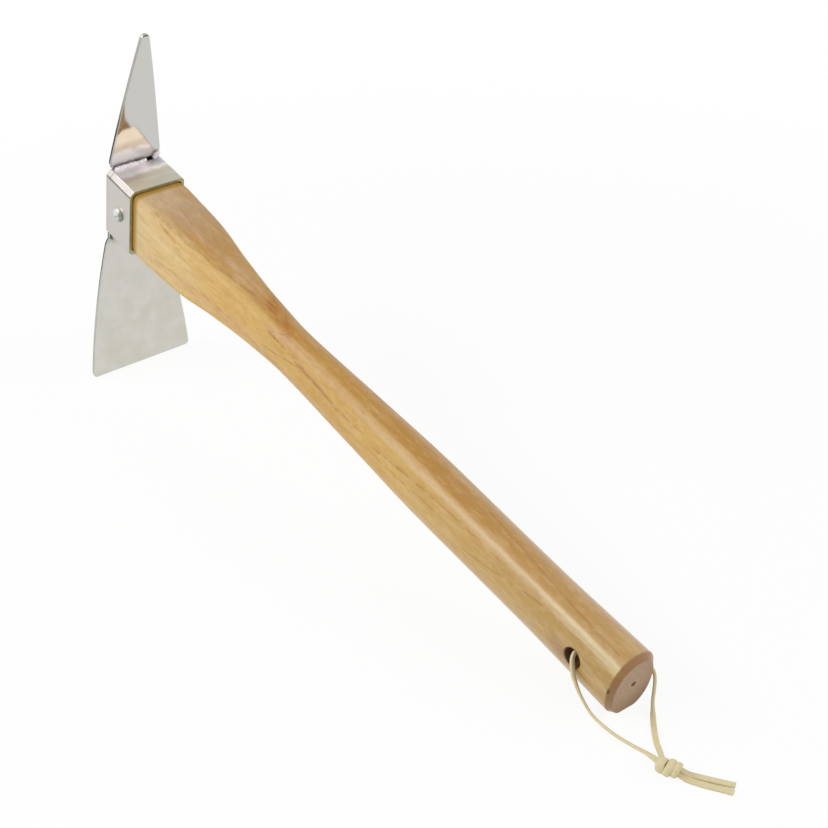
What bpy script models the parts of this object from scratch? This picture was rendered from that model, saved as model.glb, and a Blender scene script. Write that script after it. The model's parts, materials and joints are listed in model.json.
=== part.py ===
"""Small hand mattock: a steel band with a pick and a hoe blade on a waisted wooden handle, with a lace.

The tool is drawn in its own frame first. X runs along the handle from the back of the head to the
butt, Y runs across it and Z points the way the pick does. It is then stood on the hoe's cutting
edge and on the lower rim of the butt, as it rests on a table. All sizes are in metres.
"""

import math

import bmesh
import bpy
from mathutils import Vector

# Clearance left between pieces that touch
SEAT_GAP = 0.0003

# How finely round forms are divided
HOLE_SIDES = 32
RIVET_SIDES = 24
KNOT_SIDES = 20
DOME_STEPS = 6
CORNER_STEPS = 5
BLADE_SIDE_STEPS = 14
KNOT_STEPS = 24
ROUTE_STEPS = 24
SMOOTH_ANGLE = math.radians(35)
CUT_EDGE_ANGLE = math.radians(50)
STANDING_PASSES = 4
CUT_TOLERANCE = 1e-7

# Band round the head end of the handle
BAND_WIDTH = 0.033
BAND_HEIGHT = 0.041
BAND_DEPTH = 0.025
BAND_SHEET = 0.002
BAND_BEND_RADIUS = 0.003
BAND_BEND_STEPS = 6

# Blades, both of plate, leaning towards the handle
BLADE_SHEET = 0.002
BLADE_EDGE_ROUND = 0.00025

PICK_LENGTH = 0.0824
PICK_ROOT_WIDTH = 0.0309
PICK_TIP_RADIUS = 0.0026
PICK_BELLY = 0.00095
PICK_LEAN = math.radians(6.6)

HOE_LENGTH = 0.0882
HOE_NECK_WIDTH = 0.0316
HOE_NECK_LENGTH = 0.0026
HOE_SHOULDER_WIDTH = 0.0362
HOE_SHOULDER_LENGTH = 0.0022
HOE_EDGE_WIDTH = 0.0630
HOE_BELLY = 0.0018
HOE_CORNER_RADIUS = 0.0024
HOE_LEAN = math.radians(7.7)
HOE_GRIND_LENGTH = 0.0045
HOE_EDGE_THICKNESS = 0.0008

# Welds at the foot of each blade, given by their reach along the band and up the blade
PICK_BEAD_REACH = 0.0026
PICK_BEAD_RISE = 0.0024
PICK_BEAD_FROM = -0.0134
PICK_BEAD_TO = 0.0078
TACK_REACH = 0.0024
TACK_RISE = 0.0046
TACK_FROM = 0.0108
TACK_TO = 0.0150
HOE_BEAD_REACH = 0.0028
HOE_BEAD_RISE = 0.0026
HOE_BEAD_HALF_LENGTH = 0.0130
BEAD_RIPPLE = 0.12
BEAD_RIPPLE_PITCH = 0.0031
BEAD_RIPPLE_STEPS = 4
BEAD_END_SHARE = 0.04
BEAD_BLUNTNESS = 0.35

# Rivet through the band and the handle
RIVET_SHANK_DIAMETER = 0.004
RIVET_HEAD_DIAMETER = 0.0075
RIVET_HEAD_HEIGHT = 0.0018
RIVET_RIM_HEIGHT = 0.00045
RIVET_FROM_BACK = 0.0135
RIVET_RISE = 0.0012

# Handle: places are measured from its head end, heights and widths are across the section
HANDLE_LENGTH = 0.400
HANDLE_RECESS = 0.0015
HEAD_END_CHAMFER = 0.0008
SHOULDER_RUN = 0.0024
SHOULDER_HEIGHT = 0.0386
SHOULDER_WIDTH = 0.0304
SWELL_AT = 0.0440
SWELL_HEIGHT = 0.0391
SWELL_WIDTH = 0.0306
CHEEK_AT = 0.0635
CHEEK_HEIGHT = 0.0379
CHEEK_WIDTH = 0.0296
TAPER_AT = 0.0985
TAPER_HEIGHT = 0.0303
TAPER_WIDTH = 0.0237
WAIST_AT = 0.1535
WAIST_HEIGHT = 0.0261
WAIST_WIDTH = 0.0205
PALM_AT = 0.2135
PALM_HEIGHT = 0.0302
PALM_WIDTH = 0.0237
GRIP_AT = 0.3000
GRIP_HEIGHT = 0.0326
GRIP_WIDTH = 0.0256
BUTT_HEIGHT = 0.0336
BUTT_WIDTH = 0.0264
HEAD_RISE = 0.0008
GRIP_RISE = -0.0009
BUTT_CHAMFER = 0.0022
RING_SPACING = 0.0085
RING_POINTS = 48

# Squareness of the section: 2 is an oval, and higher values are squarer
TENON_SQUARENESS = 9.0
SWELL_SQUARENESS = 7.0
TAPER_SQUARENESS = 3.6
OVAL_SQUARENESS = 2.2

# Hole for the lace, from side to side
LACE_HOLE_DIAMETER = 0.0095
LACE_HOLE_FROM_BUTT = 0.0245
LACE_HOLE_RISE = 0.0003
LACE_HOLE_CHAMFER = 0.0008
CUTTER_OVERRUN = 0.0024

# Lace: a round lead of the same section as the flat leather, and its knot
LACE_DIAMETER = 0.0020
LACE_POINT_SPACING = 2 * LACE_DIAMETER
KNOT_LENGTH = 0.0110
KNOT_RADIUS = 0.0036
KNOT_ROUNDNESS = 2.6
KNOT_TURNS = 3
KNOT_GROOVE = 0.00045
KNOT_END_SHARE = 0.04
KNOT_FROM_HOLE = 0.0605
KNOT_ASIDE = -0.0143
KNOT_LIFT = 0.0037
KNOT_HEADING = math.radians(23)

# Routes of the lace. Points in the hole are measured from its middle, points on the table from
# the spot below that, and points at the knot from its middle and along its heading.
LEFT_IN_HOLE = (
    (0.0018, -0.00015, -0.0029), (0.0018, -0.0040, -0.0028), (0.0018, -0.0075, -0.0024),
    (0.0019, -0.0109, -0.0021), (0.0021, -0.0138, -0.0036), (0.0025, -0.0151, -0.0065),
)
LEFT_ON_TABLE = (
    (0.0038, -0.0154, 0.0124), (0.0061, -0.0152, 0.0093), (0.0092, -0.0149, 0.0063),
    (0.0127, -0.0146, 0.0037), (0.0168, -0.0145, 0.0019), (0.0214, -0.01465, 0.0011),
    (0.0267, -0.0149, 0.00105), (0.0327, -0.0151, 0.00105), (0.0398, -0.0145, 0.0012),
    (0.0460, -0.0143, 0.0019), (0.0505, -0.0149, 0.0029),
)
LEFT_AT_KNOT = ((-0.0076, 0.0014, 0.0001), (-0.0060, 0.0007, 0.0002))
RIGHT_IN_HOLE = (
    (0.0018, 0.00015, -0.0029), (0.0018, 0.0040, -0.0028), (0.0018, 0.0075, -0.0025),
    (0.0019, 0.0108, -0.0022), (0.0029, 0.0138, -0.0026),
)
RIGHT_ON_TABLE = (
    (0.0047, 0.0156, 0.0186), (0.0073, 0.0166, 0.0176), (0.0103, 0.0171, 0.0163),
    (0.0136, 0.0172, 0.0147), (0.0169, 0.0170, 0.0129), (0.0201, 0.0163, 0.0109),
    (0.0230, 0.0149, 0.0085), (0.0252, 0.0129, 0.0062), (0.0272, 0.0101, 0.0041),
    (0.0295, 0.0070, 0.0024), (0.0325, 0.0037, 0.0013), (0.0362, 0.0006, 0.00105),
    (0.0406, -0.0027, 0.00105), (0.0450, -0.0060, 0.0015), (0.0494, -0.0092, 0.0026),
)
RIGHT_AT_KNOT = ((-0.0055, 0.0048, 0.0006), (-0.0044, 0.0031, 0.0010))
UPPER_TAIL_AT_KNOT = ((0.0054, 0.0016, -0.0015), (0.0069, 0.0022, -0.0020))
UPPER_TAIL_ON_TABLE = (
    (0.0687, -0.0074, 0.0012), (0.0732, -0.0043, 0.00105), (0.0777, -0.0016, 0.00105),
    (0.0820, 0.0010, 0.00105),
)
LOWER_TAIL_AT_KNOT = ((0.0057, -0.0007, -0.0014), (0.0073, -0.0006, -0.0019))
LOWER_TAIL_ON_TABLE = (
    (0.0702, -0.0103, 0.0012), (0.0752, -0.0082, 0.00105), (0.0802, -0.0054, 0.00105),
    (0.0845, -0.0031, 0.00105),
)

# Worked out from the sizes above
ACROSS = Vector((0, 1, 0))
BAND_TOP = BAND_HEIGHT / 2
BAND_SIDE = BAND_WIDTH / 2
HEAD_END = HANDLE_RECESS
BUTT_END = HANDLE_RECESS + HANDLE_LENGTH
TENON_HEIGHT = BAND_HEIGHT - 2 * (BAND_SHEET + SEAT_GAP)
TENON_WIDTH = BAND_WIDTH - 2 * (BAND_SHEET + SEAT_GAP)
LACE_HOLE_AT = BUTT_END - LACE_HOLE_FROM_BUTT


def clear_scene():
    for old in list(bpy.data.objects):
        bpy.data.objects.remove(old, do_unlink=True)


def material(name, colour, roughness, metallic=0.0):
    made = bpy.data.materials.new(name)
    made.use_nodes = True
    shader = made.node_tree.nodes["Principled BSDF"]
    shader.inputs["Base Color"].default_value = (*colour, 1.0)
    shader.inputs["Roughness"].default_value = roughness
    shader.inputs["Metallic"].default_value = metallic
    return made


def add_object(name, data, finish, parent=None):
    made = bpy.data.objects.new(name, data)
    bpy.context.collection.objects.link(made)
    if finish is not None:
        data.materials.append(finish)
    made.parent = parent
    return made


def mesh_object(name, mesh_edit, finish, parent=None):
    """Turns an edited mesh into an object with its faces pointing out."""
    bmesh.ops.recalc_face_normals(mesh_edit, faces=mesh_edit.faces[:])
    mesh = bpy.data.meshes.new(name)
    mesh_edit.to_mesh(mesh)
    mesh_edit.free()
    mesh.shade_smooth()
    mesh.set_sharp_from_angle(angle=SMOOTH_ANGLE)
    return add_object(name, mesh, finish, parent)


def loft(rings):
    """Joins rings of equal count into a closed solid with a flat cap at each end."""
    solid = bmesh.new()
    loops = [[solid.verts.new(point) for point in ring] for ring in rings]
    for near, far in zip(loops, loops[1:]):
        for here in range(len(near)):
            after = (here + 1) % len(near)
            solid.faces.new((near[here], near[after], far[after], far[here]))
    solid.faces.new(loops[0][::-1])
    solid.faces.new(loops[-1])
    return solid


def circle(centre, axis, radius, count):
    """Points of a circle round an axis through centre."""
    across = axis.orthogonal().normalized()
    other = axis.cross(across).normalized()
    turns = [2 * math.pi * step / count for step in range(count)]
    return [centre + radius * (across * math.cos(turn) + other * math.sin(turn)) for turn in turns]


def turned(start, axis, profile, count):
    """Solid turned round an axis, from (distance, radius) pairs."""
    axis = axis.normalized()
    return loft([circle(start + axis * along, axis, radius, count) for along, radius in profile])


def cut(target, cutter):
    """Takes the cutter's shape out of the target."""
    cutter.hide_render = True
    cutter.display_type = "WIRE"
    step = target.modifiers.new("cut_" + cutter.name, "BOOLEAN")
    step.operation = "DIFFERENCE"
    step.solver = "EXACT"
    step.object = cutter


def glide(stations, place):
    """Smooth curve through (place, value) stations that never overshoots them."""
    if place <= stations[0][0]:
        return stations[0][1]
    if place >= stations[-1][0]:
        return stations[-1][1]
    slopes = [(b[1] - a[1]) / (b[0] - a[0]) for a, b in zip(stations, stations[1:])]
    leans = [0.0]
    for before, after in zip(slopes, slopes[1:]):
        same_way = before * after > 0
        leans.append(2 * before * after / (before + after) if same_way else 0.0)
    leans.append(slopes[-1])
    for number, (low, high) in enumerate(zip(stations, stations[1:])):
        if place <= high[0]:
            run = high[0] - low[0]
            t = (place - low[0]) / run
            start_share = 2 * t**3 - 3 * t**2 + 1
            end_share = 1 - start_share
            start_lean = (t**3 - 2 * t**2 + t) * run
            end_lean = (t**3 - t**2) * run
            return (
                start_share * low[1] + end_share * high[1]
                + start_lean * leans[number] + end_lean * leans[number + 1]
            )


# Handle

SHOULDER_AT = BAND_DEPTH + SEAT_GAP + SHOULDER_RUN - HEAD_END
BUTT_AT = HANDLE_LENGTH
HEIGHTS = (
    (SHOULDER_AT, SHOULDER_HEIGHT), (SWELL_AT, SWELL_HEIGHT), (CHEEK_AT, CHEEK_HEIGHT),
    (TAPER_AT, TAPER_HEIGHT), (WAIST_AT, WAIST_HEIGHT), (PALM_AT, PALM_HEIGHT),
    (GRIP_AT, GRIP_HEIGHT), (BUTT_AT, BUTT_HEIGHT),
)
WIDTHS = (
    (SHOULDER_AT, SHOULDER_WIDTH), (SWELL_AT, SWELL_WIDTH), (CHEEK_AT, CHEEK_WIDTH),
    (TAPER_AT, TAPER_WIDTH), (WAIST_AT, WAIST_WIDTH), (PALM_AT, PALM_WIDTH),
    (GRIP_AT, GRIP_WIDTH), (BUTT_AT, BUTT_WIDTH),
)
RISES = (
    (SHOULDER_AT, 0.0), (CHEEK_AT, HEAD_RISE), (WAIST_AT, HEAD_RISE), (GRIP_AT, GRIP_RISE),
    (BUTT_AT, 0.0),
)
SQUARENESSES = (
    (SHOULDER_AT, TENON_SQUARENESS), (SWELL_AT, SWELL_SQUARENESS),
    (TAPER_AT, TAPER_SQUARENESS), (WAIST_AT, OVAL_SQUARENESS), (BUTT_AT, OVAL_SQUARENESS),
)


def section(x, height, width, rise, squareness, inset=0.0):
    """One ring of the handle, a rounded rectangle that softens into an oval."""
    half_high = height / 2 - inset
    half_wide = width / 2 - inset
    ring = []
    for step in range(RING_POINTS):
        turn = 2 * math.pi * (step + 0.5) / RING_POINTS
        y = half_wide * math.cos(turn)
        z = half_high * math.sin(turn)
        bulk = (abs(y / half_wide) ** squareness + abs(z / half_high) ** squareness)
        reach = bulk ** (-1 / squareness)
        ring.append(Vector((x, y * reach, z * reach + rise)))
    return ring


def handle_section(place, inset=0.0):
    """Ring of the shaped part of the handle, at a place measured from its head end."""
    return section(
        HEAD_END + place, glide(HEIGHTS, place), glide(WIDTHS, place), glide(RISES, place),
        glide(SQUARENESSES, place), inset,
    )


def tenon_section(x, inset=0.0):
    """Ring of the squared end that fits the band."""
    return section(x, TENON_HEIGHT, TENON_WIDTH, 0.0, TENON_SQUARENESS, inset)


def build_handle(wood, frame):
    rings = [
        tenon_section(HEAD_END, HEAD_END_CHAMFER),
        tenon_section(HEAD_END + HEAD_END_CHAMFER),
        tenon_section(BAND_DEPTH + SEAT_GAP),
    ]
    chamfer_at = HANDLE_LENGTH - BUTT_CHAMFER
    count = math.ceil((chamfer_at - SHOULDER_AT) / RING_SPACING)
    for step in range(count + 1):
        rings.append(handle_section(SHOULDER_AT + (chamfer_at - SHOULDER_AT) * step / count))
    rings.append(handle_section(HANDLE_LENGTH, BUTT_CHAMFER))
    handle = mesh_object("handle", loft(rings), wood, frame)

    flare_at = glide(WIDTHS, HANDLE_LENGTH - LACE_HOLE_FROM_BUTT) / 2 - LACE_HOLE_CHAMFER
    cutter_end = flare_at + CUTTER_OVERRUN
    hole_radius = LACE_HOLE_DIAMETER / 2
    mouth_radius = hole_radius + CUTTER_OVERRUN
    hole_profile = (
        (-cutter_end, mouth_radius), (-flare_at, hole_radius),
        (flare_at, hole_radius), (cutter_end, mouth_radius),
    )
    hole = turned(Vector((LACE_HOLE_AT, 0, LACE_HOLE_RISE)), ACROSS, hole_profile, HOLE_SIDES)
    cut(handle, mesh_object("lace_hole_cutter", hole, None, frame))
    cut(handle, rivet_bore("handle_bore_cutter", frame))
    return handle


# Band

def rounded_rectangle(x, width, height, radius):
    """Loop of a rectangle with round corners, across the handle's axis."""
    loop = []
    for quarter, (side_y, side_z) in enumerate(((1, 1), (-1, 1), (-1, -1), (1, -1))):
        centre_y = side_y * (width / 2 - radius)
        centre_z = side_z * (height / 2 - radius)
        for step in range(BAND_BEND_STEPS + 1):
            turn = math.pi / 2 * (quarter + step / BAND_BEND_STEPS)
            loop.append(Vector((x, centre_y + radius * math.cos(turn), centre_z + radius * math.sin(turn))))
    return loop


def build_band(steel, frame):
    inner_radius = max(BAND_BEND_RADIUS - BAND_SHEET, BLADE_EDGE_ROUND)
    inner = (BAND_WIDTH - 2 * BAND_SHEET, BAND_HEIGHT - 2 * BAND_SHEET, inner_radius)
    outer = (BAND_WIDTH, BAND_HEIGHT, BAND_BEND_RADIUS)
    tube = bmesh.new()
    walls = [rounded_rectangle(x, *shape) for x, shape in ((0.0, outer), (BAND_DEPTH, outer),
                                                           (BAND_DEPTH, inner), (0.0, inner))]
    loops = [[tube.verts.new(point) for point in wall] for wall in walls]
    for near, far in zip(loops, loops[1:] + loops[:1]):
        for here in range(len(near)):
            after = (here + 1) % len(near)
            tube.faces.new((near[here], near[after], far[after], far[here]))
    band = mesh_object("socket_band", tube, steel, frame)
    soften(band)
    cut(band, rivet_bore("band_bore_cutter", frame))
    return band


def soften(piece):
    """Takes the sharpness off a plate's cut edges."""
    edge = piece.modifiers.new("cut_edges", "BEVEL")
    edge.width = BLADE_EDGE_ROUND
    edge.segments = 2
    edge.limit_method = "ANGLE"
    edge.angle_limit = CUT_EDGE_ANGLE


# Rivet

def rivet_middle():
    return Vector((RIVET_FROM_BACK, 0, RIVET_RISE))


def rivet_bore(name, frame):
    """Cutter for the rivet's hole through the band and the handle."""
    reach = BAND_SIDE + CUTTER_OVERRUN
    radius = RIVET_SHANK_DIAMETER / 2 + SEAT_GAP
    bore = turned(rivet_middle(), ACROSS, ((-reach, radius), (reach, radius)), RIVET_SIDES)
    return mesh_object(name, bore, None, frame)


def build_rivet(steel, frame):
    """Shank with a domed head on each side."""
    seat = BAND_SIDE + SEAT_GAP
    head_radius = RIVET_HEAD_DIAMETER / 2
    rim = seat + RIVET_RIM_HEIGHT
    crown = RIVET_HEAD_HEIGHT - RIVET_RIM_HEIGHT
    head = [(seat, RIVET_SHANK_DIAMETER / 2), (seat, head_radius)]
    for step in range(DOME_STEPS):
        turn = math.pi / 2 * step / (DOME_STEPS - 0.5)
        head.append((rim + crown * math.sin(turn), head_radius * math.cos(turn)))
    near_head = [(-along, radius) for along, radius in head[::-1]]
    shape = turned(rivet_middle(), ACROSS, near_head + head, RIVET_SIDES)
    return mesh_object("handle_rivet", shape, steel, frame)


# Blades

def side_curve(start, end, belly):
    """Side of a blade from one (distance, half width) to another, with a slight belly."""
    points = []
    for step in range(BLADE_SIDE_STEPS + 1):
        share = step / BLADE_SIDE_STEPS
        along = start[0] + (end[0] - start[0]) * share
        half = start[1] + (end[1] - start[1]) * share + 4 * belly * share * (1 - share)
        points.append((along, half))
    return points


def arc(centre, radius, start_turn):
    """Arc of (distance, half width) points that ends along the blade's length."""
    turns = [start_turn * (1 - step / CORNER_STEPS) for step in range(CORNER_STEPS + 1)]
    return [(centre[0] + radius * math.cos(turn), centre[1] + radius * math.sin(turn)) for turn in turns]


def plate(half_outline, lean, foot, way):
    """Plate of both halves of an outline, standing on a foot height and leaning towards +X."""
    outline = half_outline + [(along, -half) for along, half in half_outline[::-1] if half > 0]
    solid = bmesh.new()
    faces = []
    for x in (0.0, BLADE_SHEET):
        points = [Vector((x + math.tan(lean) * along, half, foot + way * along)) for along, half in outline]
        faces.append([solid.verts.new(point) for point in points])
    back, front = faces
    solid.faces.new(back)
    solid.faces.new(front[::-1])
    for here in range(len(back)):
        after = (here + 1) % len(back)
        solid.faces.new((back[here], front[here], front[after], back[after]))
    return solid


def build_pick(steel, frame):
    tip_centre = PICK_LENGTH - PICK_TIP_RADIUS
    side_slope = math.atan2(PICK_ROOT_WIDTH / 2 - PICK_TIP_RADIUS, tip_centre)
    meet = (tip_centre + PICK_TIP_RADIUS * math.sin(side_slope), PICK_TIP_RADIUS * math.cos(side_slope))
    half = side_curve((0.0, PICK_ROOT_WIDTH / 2), meet, PICK_BELLY)
    half += arc((tip_centre, 0.0), PICK_TIP_RADIUS, math.pi / 2 - side_slope)[1:]
    foot = BAND_TOP + SEAT_GAP
    pick = mesh_object("pick_blade", plate(half, PICK_LEAN, foot, 1), steel, frame)
    soften(pick)
    return pick


def build_hoe(steel, frame):
    corner = HOE_CORNER_RADIUS
    shoulder_at = HOE_NECK_LENGTH + HOE_SHOULDER_LENGTH
    corner_at = HOE_LENGTH - corner
    half = [(0.0, HOE_NECK_WIDTH / 2), (HOE_NECK_LENGTH, HOE_NECK_WIDTH / 2)]
    half += side_curve((shoulder_at, HOE_SHOULDER_WIDTH / 2), (corner_at, HOE_EDGE_WIDTH / 2), HOE_BELLY)
    half += arc((corner_at, HOE_EDGE_WIDTH / 2 - corner), corner, math.pi / 2)[1:]
    blade = plate(half, HOE_LEAN, -BAND_TOP - SEAT_GAP, -1)
    grind(blade)
    hoe = mesh_object("hoe_blade", blade, steel, frame)
    soften(hoe)
    return hoe


def grind(blade):
    """Thins the hoe's cutting edge from the back."""
    edge_z = -BAND_TOP - SEAT_GAP - HOE_LENGTH
    edge_x = math.tan(HOE_LEAN) * HOE_LENGTH + BLADE_SHEET - HOE_EDGE_THICKNESS
    grind_z = edge_z + HOE_GRIND_LENGTH
    grind_x = math.tan(HOE_LEAN) * (HOE_LENGTH - HOE_GRIND_LENGTH)
    along = Vector((edge_x - grind_x, 0, edge_z - grind_z))
    normal = Vector((along.z, 0, -along.x))
    result = bmesh.ops.bisect_plane(
        blade, geom=blade.verts[:] + blade.edges[:] + blade.faces[:], dist=CUT_TOLERANCE,
        plane_co=Vector((edge_x, 0, edge_z)), plane_no=normal, clear_outer=True,
    )
    rim = [item for item in result["geom_cut"] if isinstance(item, bmesh.types.BMEdge)]
    bmesh.ops.holes_fill(blade, edges=rim, sides=0)


# Welds

def weld(name, steel, frame, lean, foot, way, span, reach, rise):
    """Fillet between a blade's front and the band, swelling and shrinking along its length."""
    start, end = span
    steps = math.ceil((end - start) / BEAD_RIPPLE_PITCH * BEAD_RIPPLE_STEPS) + 2
    rings = []
    for step in range(steps + 1):
        share = step / steps
        y = start + (end - start) * share
        taper = math.sin(math.pi * (BEAD_END_SHARE + (1 - 2 * BEAD_END_SHARE) * share)) ** BEAD_BLUNTNESS
        ripple = math.sin(2 * math.pi * (y - start) / BEAD_RIPPLE_PITCH)
        size = taper * (1 - BEAD_RIPPLE + BEAD_RIPPLE * ripple)
        ring = [(0.0, 0.0)]
        for turn_step in range(CORNER_STEPS + 1):
            turn = math.pi / 2 * turn_step / CORNER_STEPS
            ring.append((reach * size * math.cos(turn), rise * size * math.sin(turn)))
        rings.append([
            Vector((
                BLADE_SHEET + SEAT_GAP + across + math.tan(lean) * (SEAT_GAP + up), y,
                foot + way * (SEAT_GAP + up),
            ))
            for across, up in ring
        ])
    return mesh_object(name, loft(rings), steel, frame)


def build_welds(steel, frame):
    weld("pick_weld_bead", steel, frame, PICK_LEAN, BAND_TOP, 1,
         (PICK_BEAD_FROM, PICK_BEAD_TO), PICK_BEAD_REACH, PICK_BEAD_RISE)
    weld("pick_weld_tack", steel, frame, PICK_LEAN, BAND_TOP, 1,
         (TACK_FROM, TACK_TO), TACK_REACH, TACK_RISE)
    weld("hoe_weld_bead", steel, frame, HOE_LEAN, -BAND_TOP, -1,
         (-HOE_BEAD_HALF_LENGTH, HOE_BEAD_HALF_LENGTH), HOE_BEAD_REACH, HOE_BEAD_RISE)


# Lace

def through(points, share, number):
    """Point of a smooth curve through the route's points."""
    def at(place):
        if place < 0:
            return 2 * points[0] - points[1]
        if place >= len(points):
            return 2 * points[-1] - points[-2]
        return points[place]

    before, start, end, after = (at(number + shift) for shift in (-1, 0, 1, 2))
    return 0.5 * (
        2 * start + (end - before) * share + (2 * before - 5 * start + 4 * end - after) * share**2
        + (3 * start - before - 3 * end + after) * share**3
    )


def even_points(route, spacing):
    """Points at even steps along the smooth curve through a route, whose end runs stay straight."""
    fine = [
        through(route, step / ROUTE_STEPS, number)
        for number in range(1, len(route) - 2) for step in range(ROUTE_STEPS)
    ]
    fine.append(route[-2])
    lengths = [0.0]
    for near, far in zip(fine, fine[1:]):
        lengths.append(lengths[-1] + (far - near).length)
    count = round(lengths[-1] / spacing)
    even = [route[0]]
    place = 0
    for step in range(count + 1):
        wanted = lengths[-1] * step / count
        while place < len(fine) - 2 and lengths[place + 1] < wanted:
            place += 1
        share = (wanted - lengths[place]) / (lengths[place + 1] - lengths[place])
        even.append(fine[place].lerp(fine[place + 1], share))
    even.append(route[-1])
    return even


def build_lace(name, route, leather):
    curve = bpy.data.curves.new(name, "CURVE")
    curve.dimensions = "3D"
    curve.bevel_depth = LACE_DIAMETER / 2
    curve.bevel_resolution = 2
    curve.use_fill_caps = True
    points = even_points(route, LACE_POINT_SPACING)
    line = curve.splines.new("POLY")
    line.points.add(len(points) - 1)
    for slot, point in zip(line.points, points):
        slot.co = (*point, 1.0)
    return add_object(name, curve, leather)


def build_knot(middle, heading, leather):
    """Turned body with rounded ends and one swelling for each turn of the lace."""
    half = KNOT_LENGTH / 2
    profile = []
    for step in range(KNOT_STEPS + 1):
        share = KNOT_END_SHARE + (1 - 2 * KNOT_END_SHARE) * step / KNOT_STEPS
        place = -math.cos(math.pi * share)
        radius = KNOT_RADIUS * (1 - abs(place) ** KNOT_ROUNDNESS) ** (1 / KNOT_ROUNDNESS)
        wave = 0.5 - 0.5 * math.cos(math.pi * KNOT_TURNS * (place + 1))
        profile.append((half * place, radius - KNOT_GROOVE * (1 - wave) * (1 - place**2)))
    return mesh_object("lace_knot", turned(middle, heading, profile, KNOT_SIDES), leather)


def build_laces(frame, leather):
    """Two strands from the hole to the knot and two tails beyond it."""
    hole = frame.matrix_world @ Vector((LACE_HOLE_AT, 0, LACE_HOLE_RISE))
    below = Vector((hole.x, 0, 0))
    knot = below + Vector((KNOT_FROM_HOLE, KNOT_ASIDE, KNOT_LIFT))
    heading = Vector((math.cos(KNOT_HEADING), math.sin(KNOT_HEADING), 0))
    aside = Vector((-heading.y, heading.x, 0))

    def away_from(start, points):
        return [start + Vector(point) for point in points]

    def at_knot(points):
        return [
            knot + heading * along + aside * across + Vector((0, 0, up)) for along, across, up in points
        ]

    left = away_from(hole, LEFT_IN_HOLE) + away_from(below, LEFT_ON_TABLE) + at_knot(LEFT_AT_KNOT)
    right = away_from(hole, RIGHT_IN_HOLE) + away_from(below, RIGHT_ON_TABLE) + at_knot(RIGHT_AT_KNOT)
    upper = at_knot(UPPER_TAIL_AT_KNOT) + away_from(below, UPPER_TAIL_ON_TABLE)
    lower = at_knot(LOWER_TAIL_AT_KNOT) + away_from(below, LOWER_TAIL_ON_TABLE)
    build_lace("lace_left_strand", left, leather)
    build_lace("lace_right_strand", right, leather)
    build_lace("lace_tail_upper", upper, leather)
    build_lace("lace_tail_lower", lower, leather)
    build_knot(knot, heading, leather)


# Standing on the table

def world_points(pieces):
    """Corners of the finished pieces where they stand."""
    graph = bpy.context.evaluated_depsgraph_get()
    points = []
    for piece in pieces:
        seen = piece.evaluated_get(graph)
        mesh = seen.to_mesh()
        points += [seen.matrix_world @ corner.co for corner in mesh.vertices]
        seen.to_mesh_clear()
    return points


def stand(frame, pieces, hoe, handle):
    """Tips the tool until the hoe's edge and the butt are level, then centres it over the origin."""
    for _ in range(STANDING_PASSES):
        bpy.context.view_layer.update()
        low_hoe = min(world_points([hoe]), key=lambda point: point.z)
        low_butt = min(world_points([handle]), key=lambda point: point.z)
        frame.rotation_euler.y += math.atan2(low_butt.z - low_hoe.z, low_butt.x - low_hoe.x)
    bpy.context.view_layer.update()
    corners = world_points(pieces)
    low = [min(corner[axis] for corner in corners) for axis in range(3)]
    high = [max(corner[axis] for corner in corners) for axis in range(3)]
    frame.location = (-(low[0] + high[0]) / 2, -(low[1] + high[1]) / 2, -low[2])
    bpy.context.view_layer.update()


def main():
    clear_scene()
    wood = material("varnished_wood", (0.66, 0.44, 0.22), 0.35)
    steel = material("polished_steel", (0.66, 0.65, 0.62), 0.22, 1.0)
    weld_steel = material("weld_steel", (0.70, 0.68, 0.68), 0.35, 1.0)
    rivet_steel = material("rivet_steel", (0.72, 0.72, 0.70), 0.25, 1.0)
    leather = material("lace_leather", (0.72, 0.60, 0.36), 0.8)

    frame = bpy.data.objects.new("tool_frame", None)
    bpy.context.collection.objects.link(frame)

    handle = build_handle(wood, frame)
    build_band(steel, frame)
    build_rivet(rivet_steel, frame)
    build_pick(steel, frame)
    hoe = build_hoe(steel, frame)
    build_welds(weld_steel, frame)
    pieces = [piece for piece in frame.children if not piece.hide_render]
    stand(frame, pieces, hoe, handle)

    build_laces(frame, leather)


main()
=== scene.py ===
"""Look of the small hand mattock: camera, lace, wooden handle, steel head, floor and lights."""

import json
from math import atan2, cos, inf, pi, radians, sin, tan

import bmesh
import bpy
from mathutils import Matrix, Vector

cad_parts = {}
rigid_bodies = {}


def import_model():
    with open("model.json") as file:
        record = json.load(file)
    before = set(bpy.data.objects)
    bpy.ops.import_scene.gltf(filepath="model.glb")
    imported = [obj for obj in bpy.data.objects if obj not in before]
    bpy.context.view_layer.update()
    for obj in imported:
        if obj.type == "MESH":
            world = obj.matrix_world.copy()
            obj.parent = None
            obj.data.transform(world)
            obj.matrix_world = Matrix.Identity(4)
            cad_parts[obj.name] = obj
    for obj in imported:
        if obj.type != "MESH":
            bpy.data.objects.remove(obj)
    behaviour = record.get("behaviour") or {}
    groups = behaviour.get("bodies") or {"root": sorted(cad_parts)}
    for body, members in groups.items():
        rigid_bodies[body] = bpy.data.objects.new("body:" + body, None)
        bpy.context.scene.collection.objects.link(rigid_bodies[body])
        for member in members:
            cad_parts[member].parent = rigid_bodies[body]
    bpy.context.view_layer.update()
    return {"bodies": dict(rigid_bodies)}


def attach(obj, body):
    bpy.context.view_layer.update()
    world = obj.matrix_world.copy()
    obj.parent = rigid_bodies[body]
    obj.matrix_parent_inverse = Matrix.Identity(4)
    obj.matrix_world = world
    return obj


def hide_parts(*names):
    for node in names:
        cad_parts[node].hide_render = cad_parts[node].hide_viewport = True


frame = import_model()

MM = 0.001

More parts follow.
